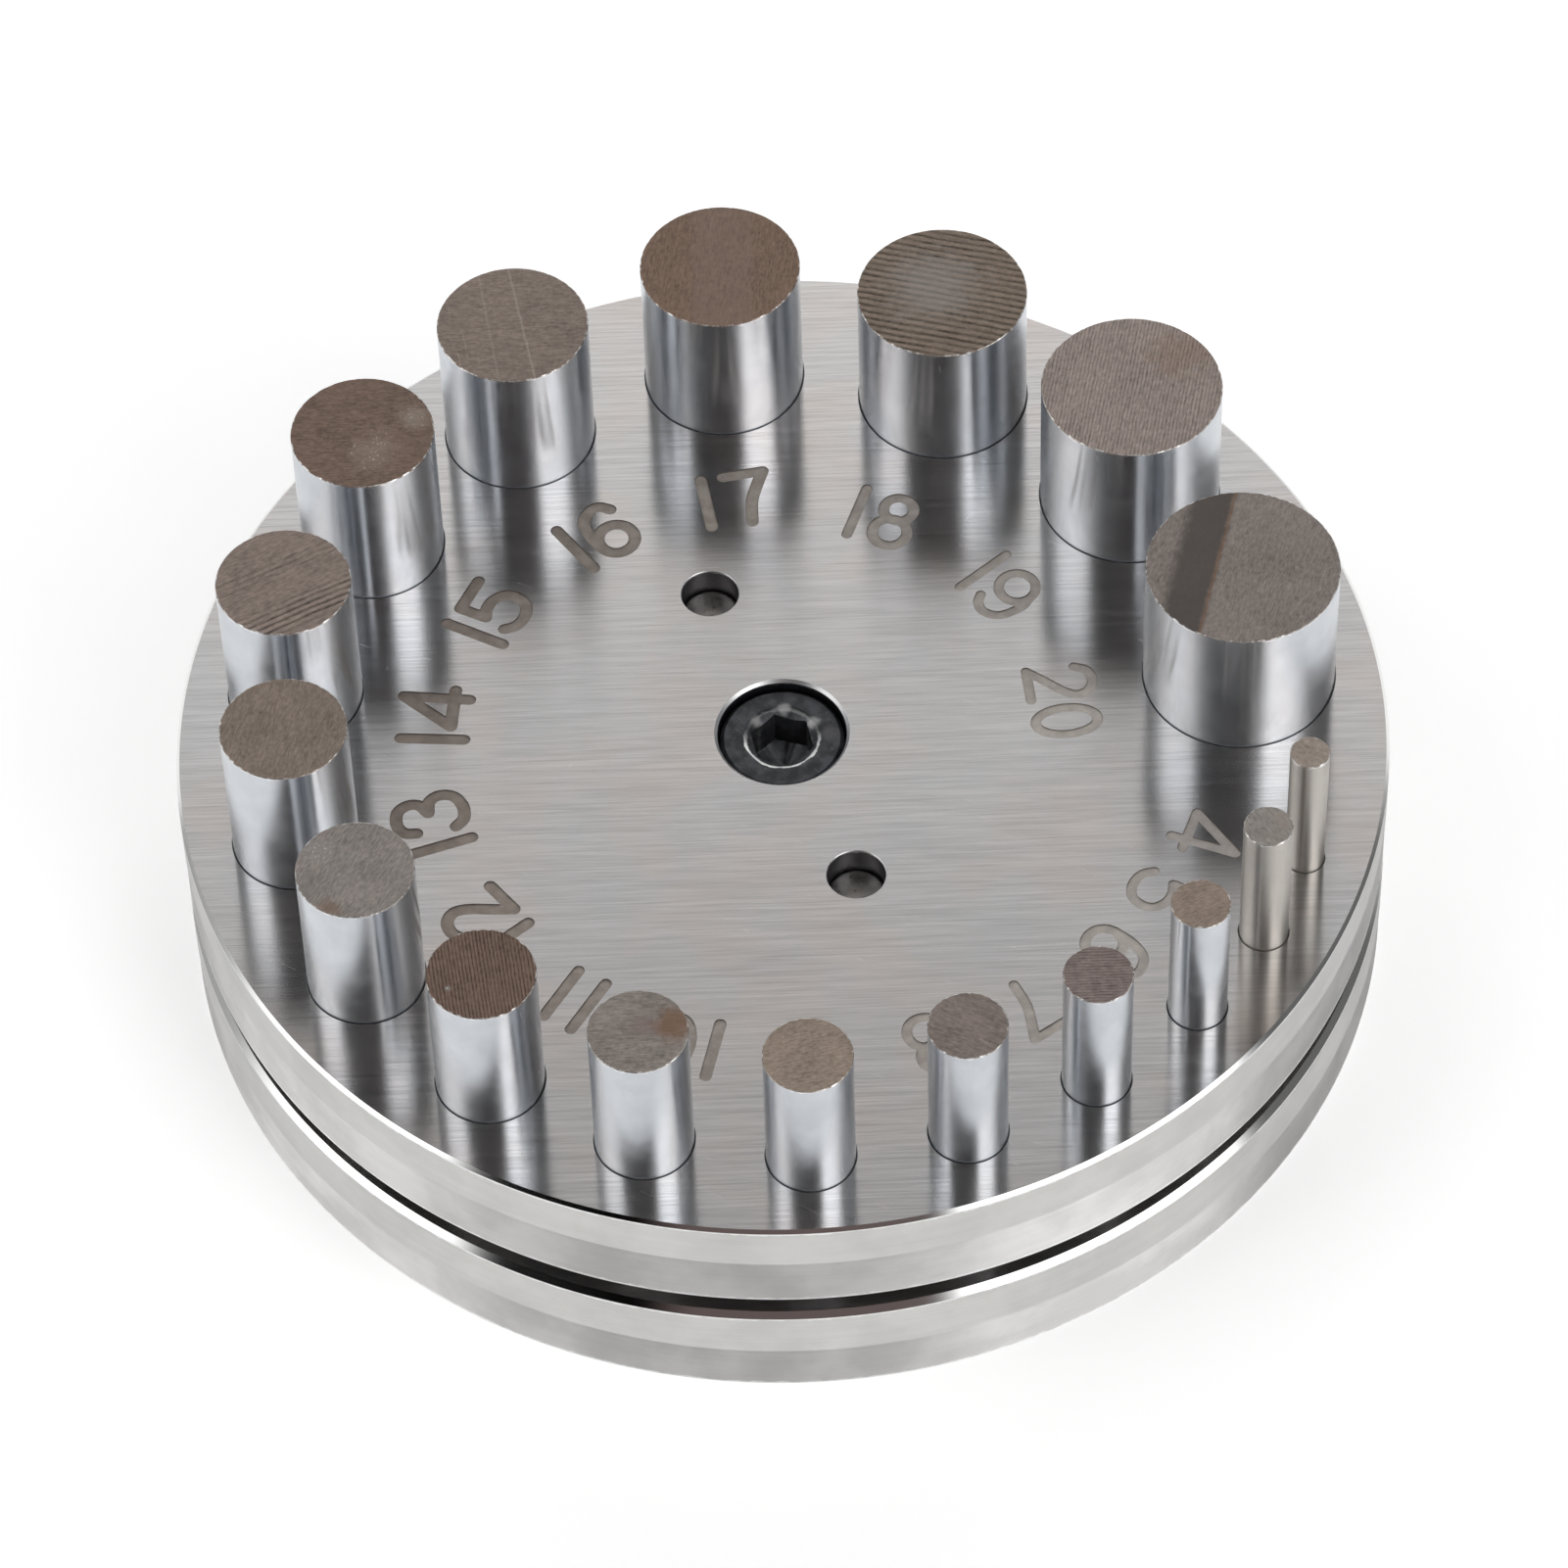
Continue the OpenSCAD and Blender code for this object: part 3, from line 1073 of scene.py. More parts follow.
class Shell:
    """Collects points and faces, and turns them into one object."""

    WEAR = "wear"

    def __init__(self) -> None:
        """Starts empty."""
        self.points: list[Point] = []
        self.wear: list[float] = []
        self.faces: list[Sequence[int]] = []
        self.finishes: list[int] = []

    def point(self, place: Point, wear: float = 0.0) -> int:
        """Adds a point.

        Args:
            place: Where it is.
            wear: The wear there.

        Returns:
            The point's number.
        """
        self.points.append(place)
        self.wear.append(wear)
        return len(self.points) - 1

    def face(self, corners: Sequence[int], finish: int = 0) -> None:
        """Adds a face between points."""
        self.faces.append(corners)
        self.finishes.append(finish)

    def ring(self, centre: Flat, stop: Stop, count: int, turn: float = 0.0) -> list[int]:
        """Adds a ring of points.

        Args:
            centre: The ring's middle.
            stop: Its radius and height, each a number or a function of the angle.
            count: How many points it has.
            turn: How far the whole ring is turned, in radians.

        Returns:
            The points' numbers.
        """
        made = []
        for step in range(count):
            angle = math.tau * step / count
            radius, z = (reach(angle) if callable(reach) else reach for reach in (stop.radius, stop.z))
            made.append(self.point((*polar(radius, angle + turn, centre), z), stop.wear))
        return made

    def skin(self, first: Sequence[int], second: Sequence[int], finish: int = 0) -> None:
        """Adds the band between two rings.

        Args:
            first: The numbers of one ring's points.
            second: The numbers of the other ring's points.
            finish: The band's finish.
        """
        for step, (near, far) in enumerate(zip(first, second)):
            after = (step + 1) % len(first)
            self.face((near, first[after], second[after], far), finish)

    def lathe(self, centre: Flat, stops: Sequence[Stop], count: int, turn: float = 0.0) -> list[list[int]]:
        """Adds a turned surface.

        Args:
            centre: The place of its axis.
            stops: Its rings, from one end to the other.
            count: How many points each ring has.
            turn: How far the rings are turned, in radians.

        Returns:
            The points' numbers, ring by ring.
        """
        rings = [self.ring(centre, stop, count, turn) for stop in stops]
        for first, second, stop in zip(rings, rings[1:], stops[1:]):
            self.skin(first, second, stop.finish)
        return rings

    def flat(self, z: float, finish: int, outlines: Sequence[Sequence[Flat]], wear: float = 0.0,
             marks: Sequence[Sequence[Flat]] = (), depth: float = 0.0,
             sunk_finishes: tuple[int, int] = (0, 0)) -> None:
        """Adds a flat face with holes in it and marks sunk into it.

        Args:
            z: The face's height.
            finish: The face's finish.
            outlines: The outer edge and then each hole, all anticlockwise.
            wear: The wear along those edges.
            marks: The outlines of the sunk marks, anticlockwise. They may overlap each other.
            depth: How deep the marks go.
            sunk_finishes: The finishes of the marks' floors and walls.
        """
        spots: list[Vector] = []
        loops: list[list[int]] = []
        for loop in (*outlines, *marks):
            loops.append(list(range(len(spots), len(spots) + len(loop))))
            spots += [Vector(spot) / MM for spot in loop]
        worn = sum(len(loop) for loop in outlines)
        found, _, triangles, sources, _, owners = delaunay_2d_cdt(spots, [], loops, INSIDE, NEAR, True)
        tops = [self.point((spot.x * MM, spot.y * MM, z), wear if source and min(source) < worn else 0.0)
                for spot, source in zip(found, sources)]
        sunk: list[Sequence[int]] = []
        for triangle, owner in zip(triangles, owners):
            if any(0 < number < len(outlines) for number in owner):
                continue
            if any(number >= len(outlines) for number in owner):
                sunk.append(triangle)
            else:
                self.face([tops[corner] for corner in triangle], finish)
        self._sink(sunk, tops, depth, *sunk_finishes)

    def _sink(self, triangles: Sequence[Sequence[int]], tops: Sequence[int], depth: float, finish: int,
              wall_finish: int) -> None:
        """Adds the marks' floors, and walls round them.

        Args:
            triangles: The triangles that the marks cover.
            tops: The numbers of their corners in the face.
            depth: How deep the marks go.
            finish: The finish of the floors.
            wall_finish: The finish of the walls.
        """
        floor: dict[int, int] = {}
        for corner in {corner for triangle in triangles for corner in triangle}:
            x, y, z = self.points[tops[corner]]
            floor[corner] = self.point((x, y, z - depth))
        sides = {(a, b) for a, b, c in triangles} | {(b, c) for a, b, c in triangles}
        sides |= {(c, a) for a, b, c in triangles}
        for triangle in triangles:
            self.face([floor[corner] for corner in triangle], finish)
        for start, end in sorted(sides):
            if (end, start) not in sides:
                self.face((tops[start], tops[end], floor[end], floor[start]), wall_finish)

    def build(self, name: str, materials: Sequence[Material]) -> Piece:
        """Makes the object.

        Args:
            name: The object's name.
            materials: One material for each finish number.

        Returns:
            The object, linked to the scene.
        """
        mesh = bpy.data.meshes.new(name)
        mesh.from_pydata(self.points, [], self.faces)
        mesh.attributes.new(self.WEAR, "FLOAT", "POINT").data.foreach_set("value", self.wear)
        for material in materials:
            mesh.materials.append(material)
        mesh.polygons.foreach_set("material_index", self.finishes)
        work = bmesh.new()
        work.from_mesh(mesh)
        bmesh.ops.remove_doubles(work, verts=work.verts, dist=WELD)
        bmesh.ops.recalc_face_normals(work, faces=work.faces)
        work.to_mesh(mesh)
        work.free()
        mesh.shade_smooth()
        mesh.set_sharp_from_angle(angle=CRISP_ANGLE)
        piece = bpy.data.objects.new(name, mesh)
        bpy.context.scene.collection.objects.link(piece)
        return piece


class Assembly:
    """A sub-assembly that builds its pieces and puts them in the frame."""

    def build(self) -> list[Piece]:
        """Builds every piece and gives them back."""
        raise NotImplementedError

    @staticmethod
    def fit(piece: Piece, node: str, body: str, slot: str) -> Piece:
        """Puts a piece in the place of a node.

        Args:
            piece: The new piece.
            node: The node that it stands for.
            body: The body that it moves with.
            slot: The record's material slot. It is not used.

        Returns:
            The piece.
        """
        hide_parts(node)
        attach(piece, body)
        return piece


# ---------------------------------------------------------------------------
# Numerals
# ---------------------------------------------------------------------------


# The turn between two points of a digit's curve, in degrees
CURVE_STEP = 20


def bow(centre: Flat, across: float, up: float, start: float, end: float) -> list[Flat]:
    """Gives points along part of an ellipse.

    Args:
        centre: The ellipse's middle.
        across: Half its width.
        up: Half its height.
        start: The first point's angle in degrees, anticlockwise from the right.
        end: The last point's angle in degrees.

    Returns:
        The points.
    """
    count = max(2, round(abs(end - start) / CURVE_STEP))
    angles = [math.radians(start + (end - start) * step / count) for step in range(count + 1)]
    return [(centre[0] + across * math.cos(angle), centre[1] + up * math.sin(angle)) for angle in angles]


def hoop(centre: Flat, across: float, up: float, lap: float = 3) -> list[list[Flat]]:
    """Gives a closed ring as two strokes, each of which runs a few degrees past the other's end."""
    return [bow(centre, across, up, start - lap, start + 180 + lap) for start in (-90, 90)]


# The middle lines of the digits' strokes in millimetres, from each digit's own middle
DIGITS: dict[str, list[list[Flat]]] = {
    "0": hoop((0, 0), 1.75, 3.25),
    "1": [[(0, 3.3), (0, -3.3)]],
    "2": [
        [(-1.9, 1.75), (-1.3, 2.95), (-0.05, 3.4), (1.25, 2.9), (1.8, 1.65), (1.15, 0.2), (-0.4, -1.55),
         (-1.9, -3.3)],
        [(-1.9, -3.3), (2.0, -3.3)],
    ],
    "3": [
        [(-1.8, 1.9), (-1.35, 3.05), (-0.1, 3.5), (1.4, 3.0), (2.0, 1.75), (1.6, 0.6), (0.35, 0.0)],
        [(0.35, 0.0), (1.7, -0.55), (2.15, -1.8), (1.5, -3.15), (-0.1, -3.65), (-1.6, -3.25), (-2.3, -2.2)],
    ],
    "4": [[(1.4, 3.4), (-2.5, -1.8)], [(-2.5, -1.8), (2.3, -1.95)], [(1.4, 3.4), (1.1, -3.5)]],
    "5": [
        [(2.3, 3.0), (-1.8, 3.0)],
        [(-1.8, 3.0), (-1.75, 0.0)],
        [(-1.75, 0.0), (-0.7, 0.45), (0.6, 0.4), (1.8, -0.4), (2.1, -1.65), (1.6, -3.0), (0.1, -3.65),
         (-1.4, -3.4), (-2.3, -2.5)],
    ],
    "6": [
        [(2.0, 2.1), (1.3, 3.1), (0.2, 3.3), (-1.2, 2.5), (-1.85, 0.6), (-1.85, -1.5)],
        *hoop((0.1, -1.55), 1.95, 1.95),
    ],
    "7": [[(-1.8, 3.2), (2.5, 3.2)], [(2.5, 3.2), (1.45, 1.2), (0.6, -0.8), (0.15, -3.5)]],
    "8": [*hoop((-0.05, 1.6), 1.6, 1.6), *hoop((0, -1.65), 1.85, 1.85)],
    "9": [
        *hoop((-0.1, 1.15), 1.95, 1.95),
        [(1.85, 1.15), (2.15, -0.4), (1.5, -2.7), (0.0, -3.65), (-1.3, -3.3), (-1.95, -2.35)],
    ],
}


@dataclass(frozen=True)
class Numeral:
    """A punch's size, etched inwards of its bore and read from outside.

    reach is how far its middle stands from the plate's, at an angle in degrees. shifts say how far
    each digit stands to the right of that middle, and width is the strokes', in millimetres.
    """

    value: int
    reach: float
    angle: float
    shifts: tuple[float, ...] = ()
    width: float = 1.35

    def outlines(self) -> list[list[Flat]]:
        """Gives the outline of every stroke on the plate.

        Returns:
            The outlines, in metres.
        """
        digits = str(self.value)
        shifts = self.shifts or ((0.0,) if len(digits) == 1 else (-2.1, 2.1))
        return [
            self._placed(stroke, shift)
            for digit, shift in zip(digits, shifts)
            for stroke in DIGITS[digit]
        ]

    def _placed(self, middle: Sequence[Flat], shift: float) -> list[Flat]:
        """Widens a stroke and puts it on the plate.

        Args:
            middle: The stroke's middle line.
            shift: How far its digit stands to the right of the number's middle.

        Returns:
            The outline, anticlockwise.
        """
        angle = math.radians(self.angle)
        outward = Vector((math.cos(angle), math.sin(angle)))
        across = Vector((math.sin(angle), -math.cos(angle)))
        return [
            tuple(MM * (outward * (self.reach + spot.y) + across * (shift + spot.x)))
            for spot in self._widened(self._smoothed(middle))
        ]

    @staticmethod
    def _smoothed(middle: Sequence[Flat], steps: int = 4) -> list[Vector]:
        """Runs a smooth line through points.

        Args:
            middle: The points.
            steps: How many parts lie between two of them.

        Returns:
            The points of the smooth line.
        """
        spots = [Vector(spot) for spot in middle]
        if len(spots) == 2:
            return spots
        ends = [2 * spots[0] - spots[1], *spots, 2 * spots[-1] - spots[-2]]
        made = [spots[0]]
        for before, here, after, beyond in zip(ends, ends[1:], ends[2:], ends[3:]):
            for step in range(1, steps + 1):
                t = step / steps
                bend = 2 * before - 5 * here + 4 * after - beyond
                turn = 3 * here - before - 3 * after + beyond
                made.append(here + 0.5 * t * ((after - before) + t * bend + t * t * turn))
        return made

    def _widened(self, line: Sequence[Vector], cap: int = 8) -> list[Vector]:
        """Gives the outline of a line with round ends.

        Args:
            line: The line's points.
            cap: How many parts each round end has.

        Returns:
            The outline, anticlockwise.
        """
        half = self.width / 2
        right, left = [], []
        for index, spot in enumerate(line):
            way = (line[min(index + 1, len(line) - 1)] - line[max(index - 1, 0)]).normalized()
            side = half * Vector((-way.y, way.x))
            right.append(spot - side)
            left.append(spot + side)
        ends = []
        for spot, way in ((line[-1], line[-1] - line[-2]), (line[0], line[0] - line[1])):
            start = math.atan2(way.y, way.x) - math.pi / 2
            turns = [start + math.pi * step / cap for step in range(1, cap)]
            ends.append([spot + half * Vector((math.cos(turn), math.sin(turn))) for turn in turns])
        return [*right, *ends[0], *reversed(left), *ends[1]]


# ---------------------------------------------------------------------------
# The two plates
# ---------------------------------------------------------------------------


class Side(IntEnum):
    """The finishes on a plate, in the order of its material slots."""

    FACE = 0
    UPPER_RIM = 1
    LOWER_RIM = 2
    CHAMFER = 3
    BORE = 4
    NUMERAL = 5
    NUMERAL_WALL = 6


@dataclass
class Plate(Assembly):
    """A round steel plate with a turned rim, ground faces and through holes."""

    node: str = ""
    body: str = ""
    low: float = 0.0
    high: float = 0.0
    chamfer: float = 0.35 * MM
    band_share: float = 0.5
    radius: float = 63 * MM
    rim_step: float = 0.06 * MM
    edge_break: float = 0.2 * MM
    mouth_break: float = 0.07 * MM
    rim_sides: int = 384
    mark_depth: float = 0.14 * MM
    rim_fade: float = 0.6 * MM
    bore_fade: float = 0.5 * MM

    def holes(self) -> list[Hole]:
        """Gives every hole of the plate."""
        raise NotImplementedError

    def marks(self) -> list[list[Flat]]:
        """Gives the outlines of the marks in the upper face."""
        return []

    def drilled(self, centre: Flat, *steps: tuple[float, float], top: float, foot: float) -> Hole:
        """Describes a hole with a broken edge at one or both faces.

        Args:
            centre: The hole's middle.
            *steps: The radius of each stretch from the top down, and the height where it ends.
            top: The width of the break at the upper face.
            foot: The width of the break at the lower face.

        Returns:
            The hole.
        """
        radius = steps[0][0]
        stops = [Stop(radius + top, self.high, Side.BORE, 1.0)]
        if top:
            stops.append(Stop(radius, self.high - top, Side.BORE, 1.0))
        stops.append(Stop(radius, self.high - top - self.bore_fade, Side.BORE))
        for index, (radius, end) in enumerate(steps):
            if index:
                stops.append(Stop(radius, stops[-1].z, Side.BORE))
            stops.append(Stop(radius, max(end, self.low + foot), Side.BORE))
        if foot:
            stops.append(Stop(radius + foot, self.low, Side.CHAMFER, 1.0))
        return Hole(centre, tuple(stops))

    def rim(self) -> list[Stop]:
        """Gives the rim's rings.

        Returns:
            The rings, from the lower face to the upper one.
        """
        inner = self.radius - self.rim_step
        band = self.low + (self.high - self.low) * self.band_share
        fade = self.rim_fade
        return [
            Stop(inner - self.edge_break, self.low, Side.CHAMFER, 1.0),
            Stop(inner, self.low + self.edge_break, Side.CHAMFER, 1.0),
            Stop(inner, self.low + self.edge_break + fade, Side.LOWER_RIM),
            Stop(inner, band - self.rim_step, Side.LOWER_RIM),
            Stop(self.radius, band, Side.UPPER_RIM, 0.3),
            Stop(self.radius, band + fade, Side.UPPER_RIM),
            Stop(self.radius, self.high - self.chamfer - fade, Side.UPPER_RIM),
            Stop(self.radius, self.high - self.chamfer, Side.UPPER_RIM, 1.0),
            Stop(self.radius - self.chamfer, self.high, Side.CHAMFER, 1.0),
        ]

    def shell(self) -> Shell:
        """Builds the plate's mesh.

        Returns:
            The mesh, with both faces, the rim and every hole.
        """
        made = Shell()
        rim, holes = self.rim(), self.holes()
        ends = [circle(hole.centre, hole.stops[0].radius, hole.sides) for hole in holes]
        made.flat(self.high, Side.FACE, [circle((0, 0), rim[-1].radius, self.rim_sides), *ends], 1.0,
                  self.marks(), self.mark_depth, (Side.NUMERAL, Side.NUMERAL_WALL))
        ends = [circle(hole.centre, hole.stops[-1].radius, hole.sides) for hole in holes]
        made.flat(self.low, Side.FACE, [circle((0, 0), rim[0].radius, self.rim_sides), *ends], 1.0)
        made.lathe((0, 0), rim, self.rim_sides)
        for hole in holes:
            made.lathe(hole.centre, hole.stops, hole.sides)
        return made

    def finishes(self) -> list[Material]:
        """Makes the plate's materials.

        Returns:
            The materials, in the order of Side.
        """
        made = {
            "ground face": GroundFace(),
            "upper rim": TurnedRim(base=(0.645, 0.64, 0.625), roughness=0.4),
            "lower rim": TurnedRim(base=(0.66, 0.65, 0.645), roughness=0.48, stretch=0.95, smears=0.16),
            "chamfer": TurnedRim(base=(0.66, 0.655, 0.64), roughness=0.2, stretch=0.3),
            "bore": Bored(),
            "numeral": Etched(),
            # The numerals' walls take a darker copy of the etched finish, as painted shade in the recesses
            "numeral wall": Etched(brown=(0.1, 0.085, 0.075), grey=(0.2, 0.18, 0.16)),
        }
        return [finish.material(f"{self.node} {label}") for label, finish in made.items()]

    def build(self) -> list[Piece]:
        """Builds the plate."""
        piece = self.shell().build(f"{self.node}_detailed", self.finishes())
        return [self.fit(piece, self.node, self.body, "ground_steel")]


@dataclass
class GuidePlate(Plate):
    """The upper plate, which guides the punches and carries the numerals."""

    node: str = "guide_plate"
    body: str = "guide"
    low: float = 15.1 * MM
    high: float = 27.2 * MM
    band_share: float = 0.535
    running_gap: float = 0.08 * MM
    seat: float = 18.2 * MM
    counterbore: float = 6.75 * MM
    counterbore_break: float = 0.3 * MM
    screw_hole: float = 4.5 * MM
    pin_gap: float = 0.03 * MM
    numerals: tuple[Numeral, ...] = (
        Numeral(4, 45.9, -19.7, width=1.1),
        Numeral(5, 44.9, -31.0, width=1.1),
        Numeral(6, 44.6, -42.3, (-0.2,), 1.1),
        Numeral(7, 44.0, -56.0, width=1.1),
        Numeral(8, 43.0, -71.2, width=1.1),
        Numeral(9, 42.0, -88.4, width=1.2),
        Numeral(10, 41.2, 255.8, width=1.25),
        Numeral(11, 40.1, 237.0, (-1.55, 1.7), 1.25),
        Numeral(12, 38.8, 218.3),
        Numeral(13, 37.8, 197.5),
        Numeral(14, 36.3, 175.6),
        Numeral(15, 35.0, 152.0),
        Numeral(16, 33.2, 126.0),
        Numeral(17, 32.1, 99.2),
        Numeral(18, 30.7, 69.5, width=1.2),
        Numeral(19, 30.0, 39.5, width=1.1),
        Numeral(20, 29.5, 5.3, (-2.55, 2.6), 1.1),
    )

    def holes(self) -> list[Hole]:
        """Gives the plate's holes.

        Returns:
            The punches' bores, the counterbored screw hole and the two pin holes.
        """
        edge = self.mouth_break
        bores = [
            self.drilled(punch.centre, (punch.radius + self.running_gap, self.low), top=edge, foot=edge)
            for punch in Punch.all()
        ]
        screw = self.drilled((0, 0), (self.counterbore, self.seat), (self.screw_hole, self.low),
                             top=self.counterbore_break, foot=edge)
        pins = [
            self.drilled(pin.centre, (pin.radius + self.pin_gap, self.low), top=edge, foot=edge)
            for pin in Pin.all()
        ]
        return [*bores, screw, *pins]

    def marks(self) -> list[list[Flat]]:
        """Gives the strokes of the numerals."""
        return [outline for numeral in self.numerals for outline in numeral.outlines()]


@dataclass
class DiePlate(Plate):
    """The lower plate, whose bores are the cutting edges."""

    node: str = "die_plate"
    body: str = "base"
    low: float = 0.0
    high: float = 12.4 * MM
    chamfer: float = 0.6 * MM
    band_share: float = 0.49
    cutting_gap: float = 0.05 * MM
    relief: float = 0.3 * MM
    land: float = 5 * MM
    thread_radius: float = 4.05 * MM
    thread_depth: float = 0.6 * MM
    thread_chamfer: float = 0.8 * MM
    pocket: float = 4.4 * MM
    pocket_floor: float = 7.4 * MM
    pin_press: float = 0.01 * MM

    def holes(self) -> list[Hole]:
        """Gives the plate's holes.

        Returns:
            The die bores, the tapped hole and the spring pockets with their pin holes.
        """
        edge = self.mouth_break
        bores = [
            self.drilled(punch.centre, (punch.radius + self.cutting_gap, self.high - self.land),
                         (punch.radius + self.cutting_gap + self.relief, self.low), top=0.0, foot=edge)
            for punch in Punch.all()
        ]
        pins = [
            self.drilled(pin.centre, (self.pocket, self.pocket_floor),
                         (pin.radius - self.pin_press, self.low), top=0.0, foot=edge)
            for pin in Pin.all()
        ]
        return [*bores, self.tapped(), *pins]

    def tapped(self) -> Hole:
        """Gives the hole for the clamp screw.

        Returns:
            The hole, with its thread.
        """
        low, high = self.low + self.thread_chamfer, self.high - self.thread_chamfer
        outer = self.thread_radius + self.thread_chamfer
        thread = Thread(crest=self.thread_radius, depth=-self.thread_depth, low=low, high=high)
        stops = [Stop(radius, z, Side.BORE, 0.2) for radius, z in reversed(thread.rings())]
        mouth, foot = (Stop(outer, z, Side.BORE, 0.6) for z in (self.high, self.low))
        return Hole((0, 0), (mouth, *stops, foot))


@dataclass(frozen=True)
class Thread:
    """A right-hand thread, as rings whose radius changes with the angle.

    A negative depth cuts outwards, into the wall of a hole. flat is the share of the pitch that the
    crest and the root each keep flat on either side.
    """

    crest: float
    depth: float
    low: float
    high: float
    pitch: float = 1.25 * MM
    steps: int = 12
    flat: float = 0.12

    def rings(self) -> list[tuple[Reach, float]]:
        """Gives the thread's rings.

        Returns:
            The radius and the height of every ring, from the lowest up.
        """
        count = round((self.high - self.low) / self.pitch * self.steps)
        heights = [self.low + (self.high - self.low) * step / count for step in range(count + 1)]
        return [(self._radius(z), z) for z in heights]

    def _radius(self, z: float) -> Callable[[float], float]:
        """Gives the radius at a height as a function of the angle.

        Args:
            z: The height.

        Returns:
            The function.
        """
        ends = min(z - self.low, self.high - z) / self.pitch
        fade = min(1.0, max(0.0, ends))

        def radius(angle: float) -> float:
            """Gives the radius at an angle.

            Args:
                angle: The angle, in radians.

            Returns:
                The radius.
            """
            phase = ((z - self.low) / self.pitch - angle / math.tau) % 1.0
            flank = min(1.0, max(0.0, (abs(2 * phase - 1) - self.flat) / (1 - 2 * self.flat)))
            return self.crest - self.depth * fade * flank

        return radius


# ---------------------------------------------------------------------------
# Punches
# ---------------------------------------------------------------------------


class PunchSide(IntEnum):
    """The finishes on a punch, in the order of its material slots."""

    BARREL = 0
    STRUCK_END = 1
    CUTTING_END = 2


LAPPED = Barrel()
SATIN = Barrel(base=(0.5, 0.475, 0.44), roughness=0.34, marked=0.3)
SHARP = Bored(base=(0.5, 0.5, 0.5), roughness=0.25)


@dataclass(frozen=True)
class Punch:
    """A round punch, cut square at the foot and bevelled round its struck end."""

    size: int
    end: StruckEnd
    side: Barrel = LAPPED
    bevel: float = 0.07 * MM
    foot_break: float = 0.02 * MM
    # How far the edges' wear reaches, at most and as a share of the radius, and how much of that it
    # reaches over the struck end
    fade: float = 0.5 * MM
    fade_share: float = 0.3
    end_share: float = 0.4

    @property
    def node(self) -> str:
        """Gives the name of the punch's node."""
        return f"punch_{self.size:02d}"

    @property
    def radius(self) -> float:
        """Gives the punch's radius."""
        return self.size / 2 * MM

    @property
    def centre(self) -> Flat:
        """Gives the punch's middle."""
        return middle_of(self.node)

    @staticmethod
    def all() -> tuple[Punch, ...]:
        """Gives the whole set, from the smallest up."""
        return PUNCHES

    def build(self) -> Piece:
        """Builds the punch.

        Returns:
            The piece.
        """
        low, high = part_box(self.node)
        foot, top, radius = low[2], high[2], self.radius
        fade = min(self.fade, self.fade_share * radius)
        stops = [
            Stop(radius - self.foot_break, foot, PunchSide.CUTTING_END, 0.5),
            Stop(radius, foot + self.foot_break, PunchSide.BARREL, 0.5),
            Stop(radius, foot + fade, PunchSide.BARREL),
            Stop(radius, top - self.bevel - fade, PunchSide.BARREL),
            Stop(radius, top - self.bevel, PunchSide.BARREL, 0.62),
            Stop(radius - self.bevel, top, PunchSide.STRUCK_END, 0.75),
            Stop(radius - self.bevel - self.end_share * fade, top, PunchSide.STRUCK_END),
        ]
        shell = Shell()
        rings = shell.lathe(self.centre, stops, round_sides(radius))
        shell.face(rings[0], PunchSide.CUTTING_END)
        shell.face(rings[-1], PunchSide.STRUCK_END)
        return shell.build(f"{self.node}_detailed", [
            self.side.material(f"{self.node} barrel"),
            self.end.material(f"{self.node} struck end", self.centre, radius),
            SHARP.material(f"{self.node} cutting end"),
        ])


RUST: Colour = (0.2, 0.115, 0.07)
PALE: Colour = (0.3, 0.28, 0.265)
SAWN: Colour = (0.09, 0.078, 0.072)

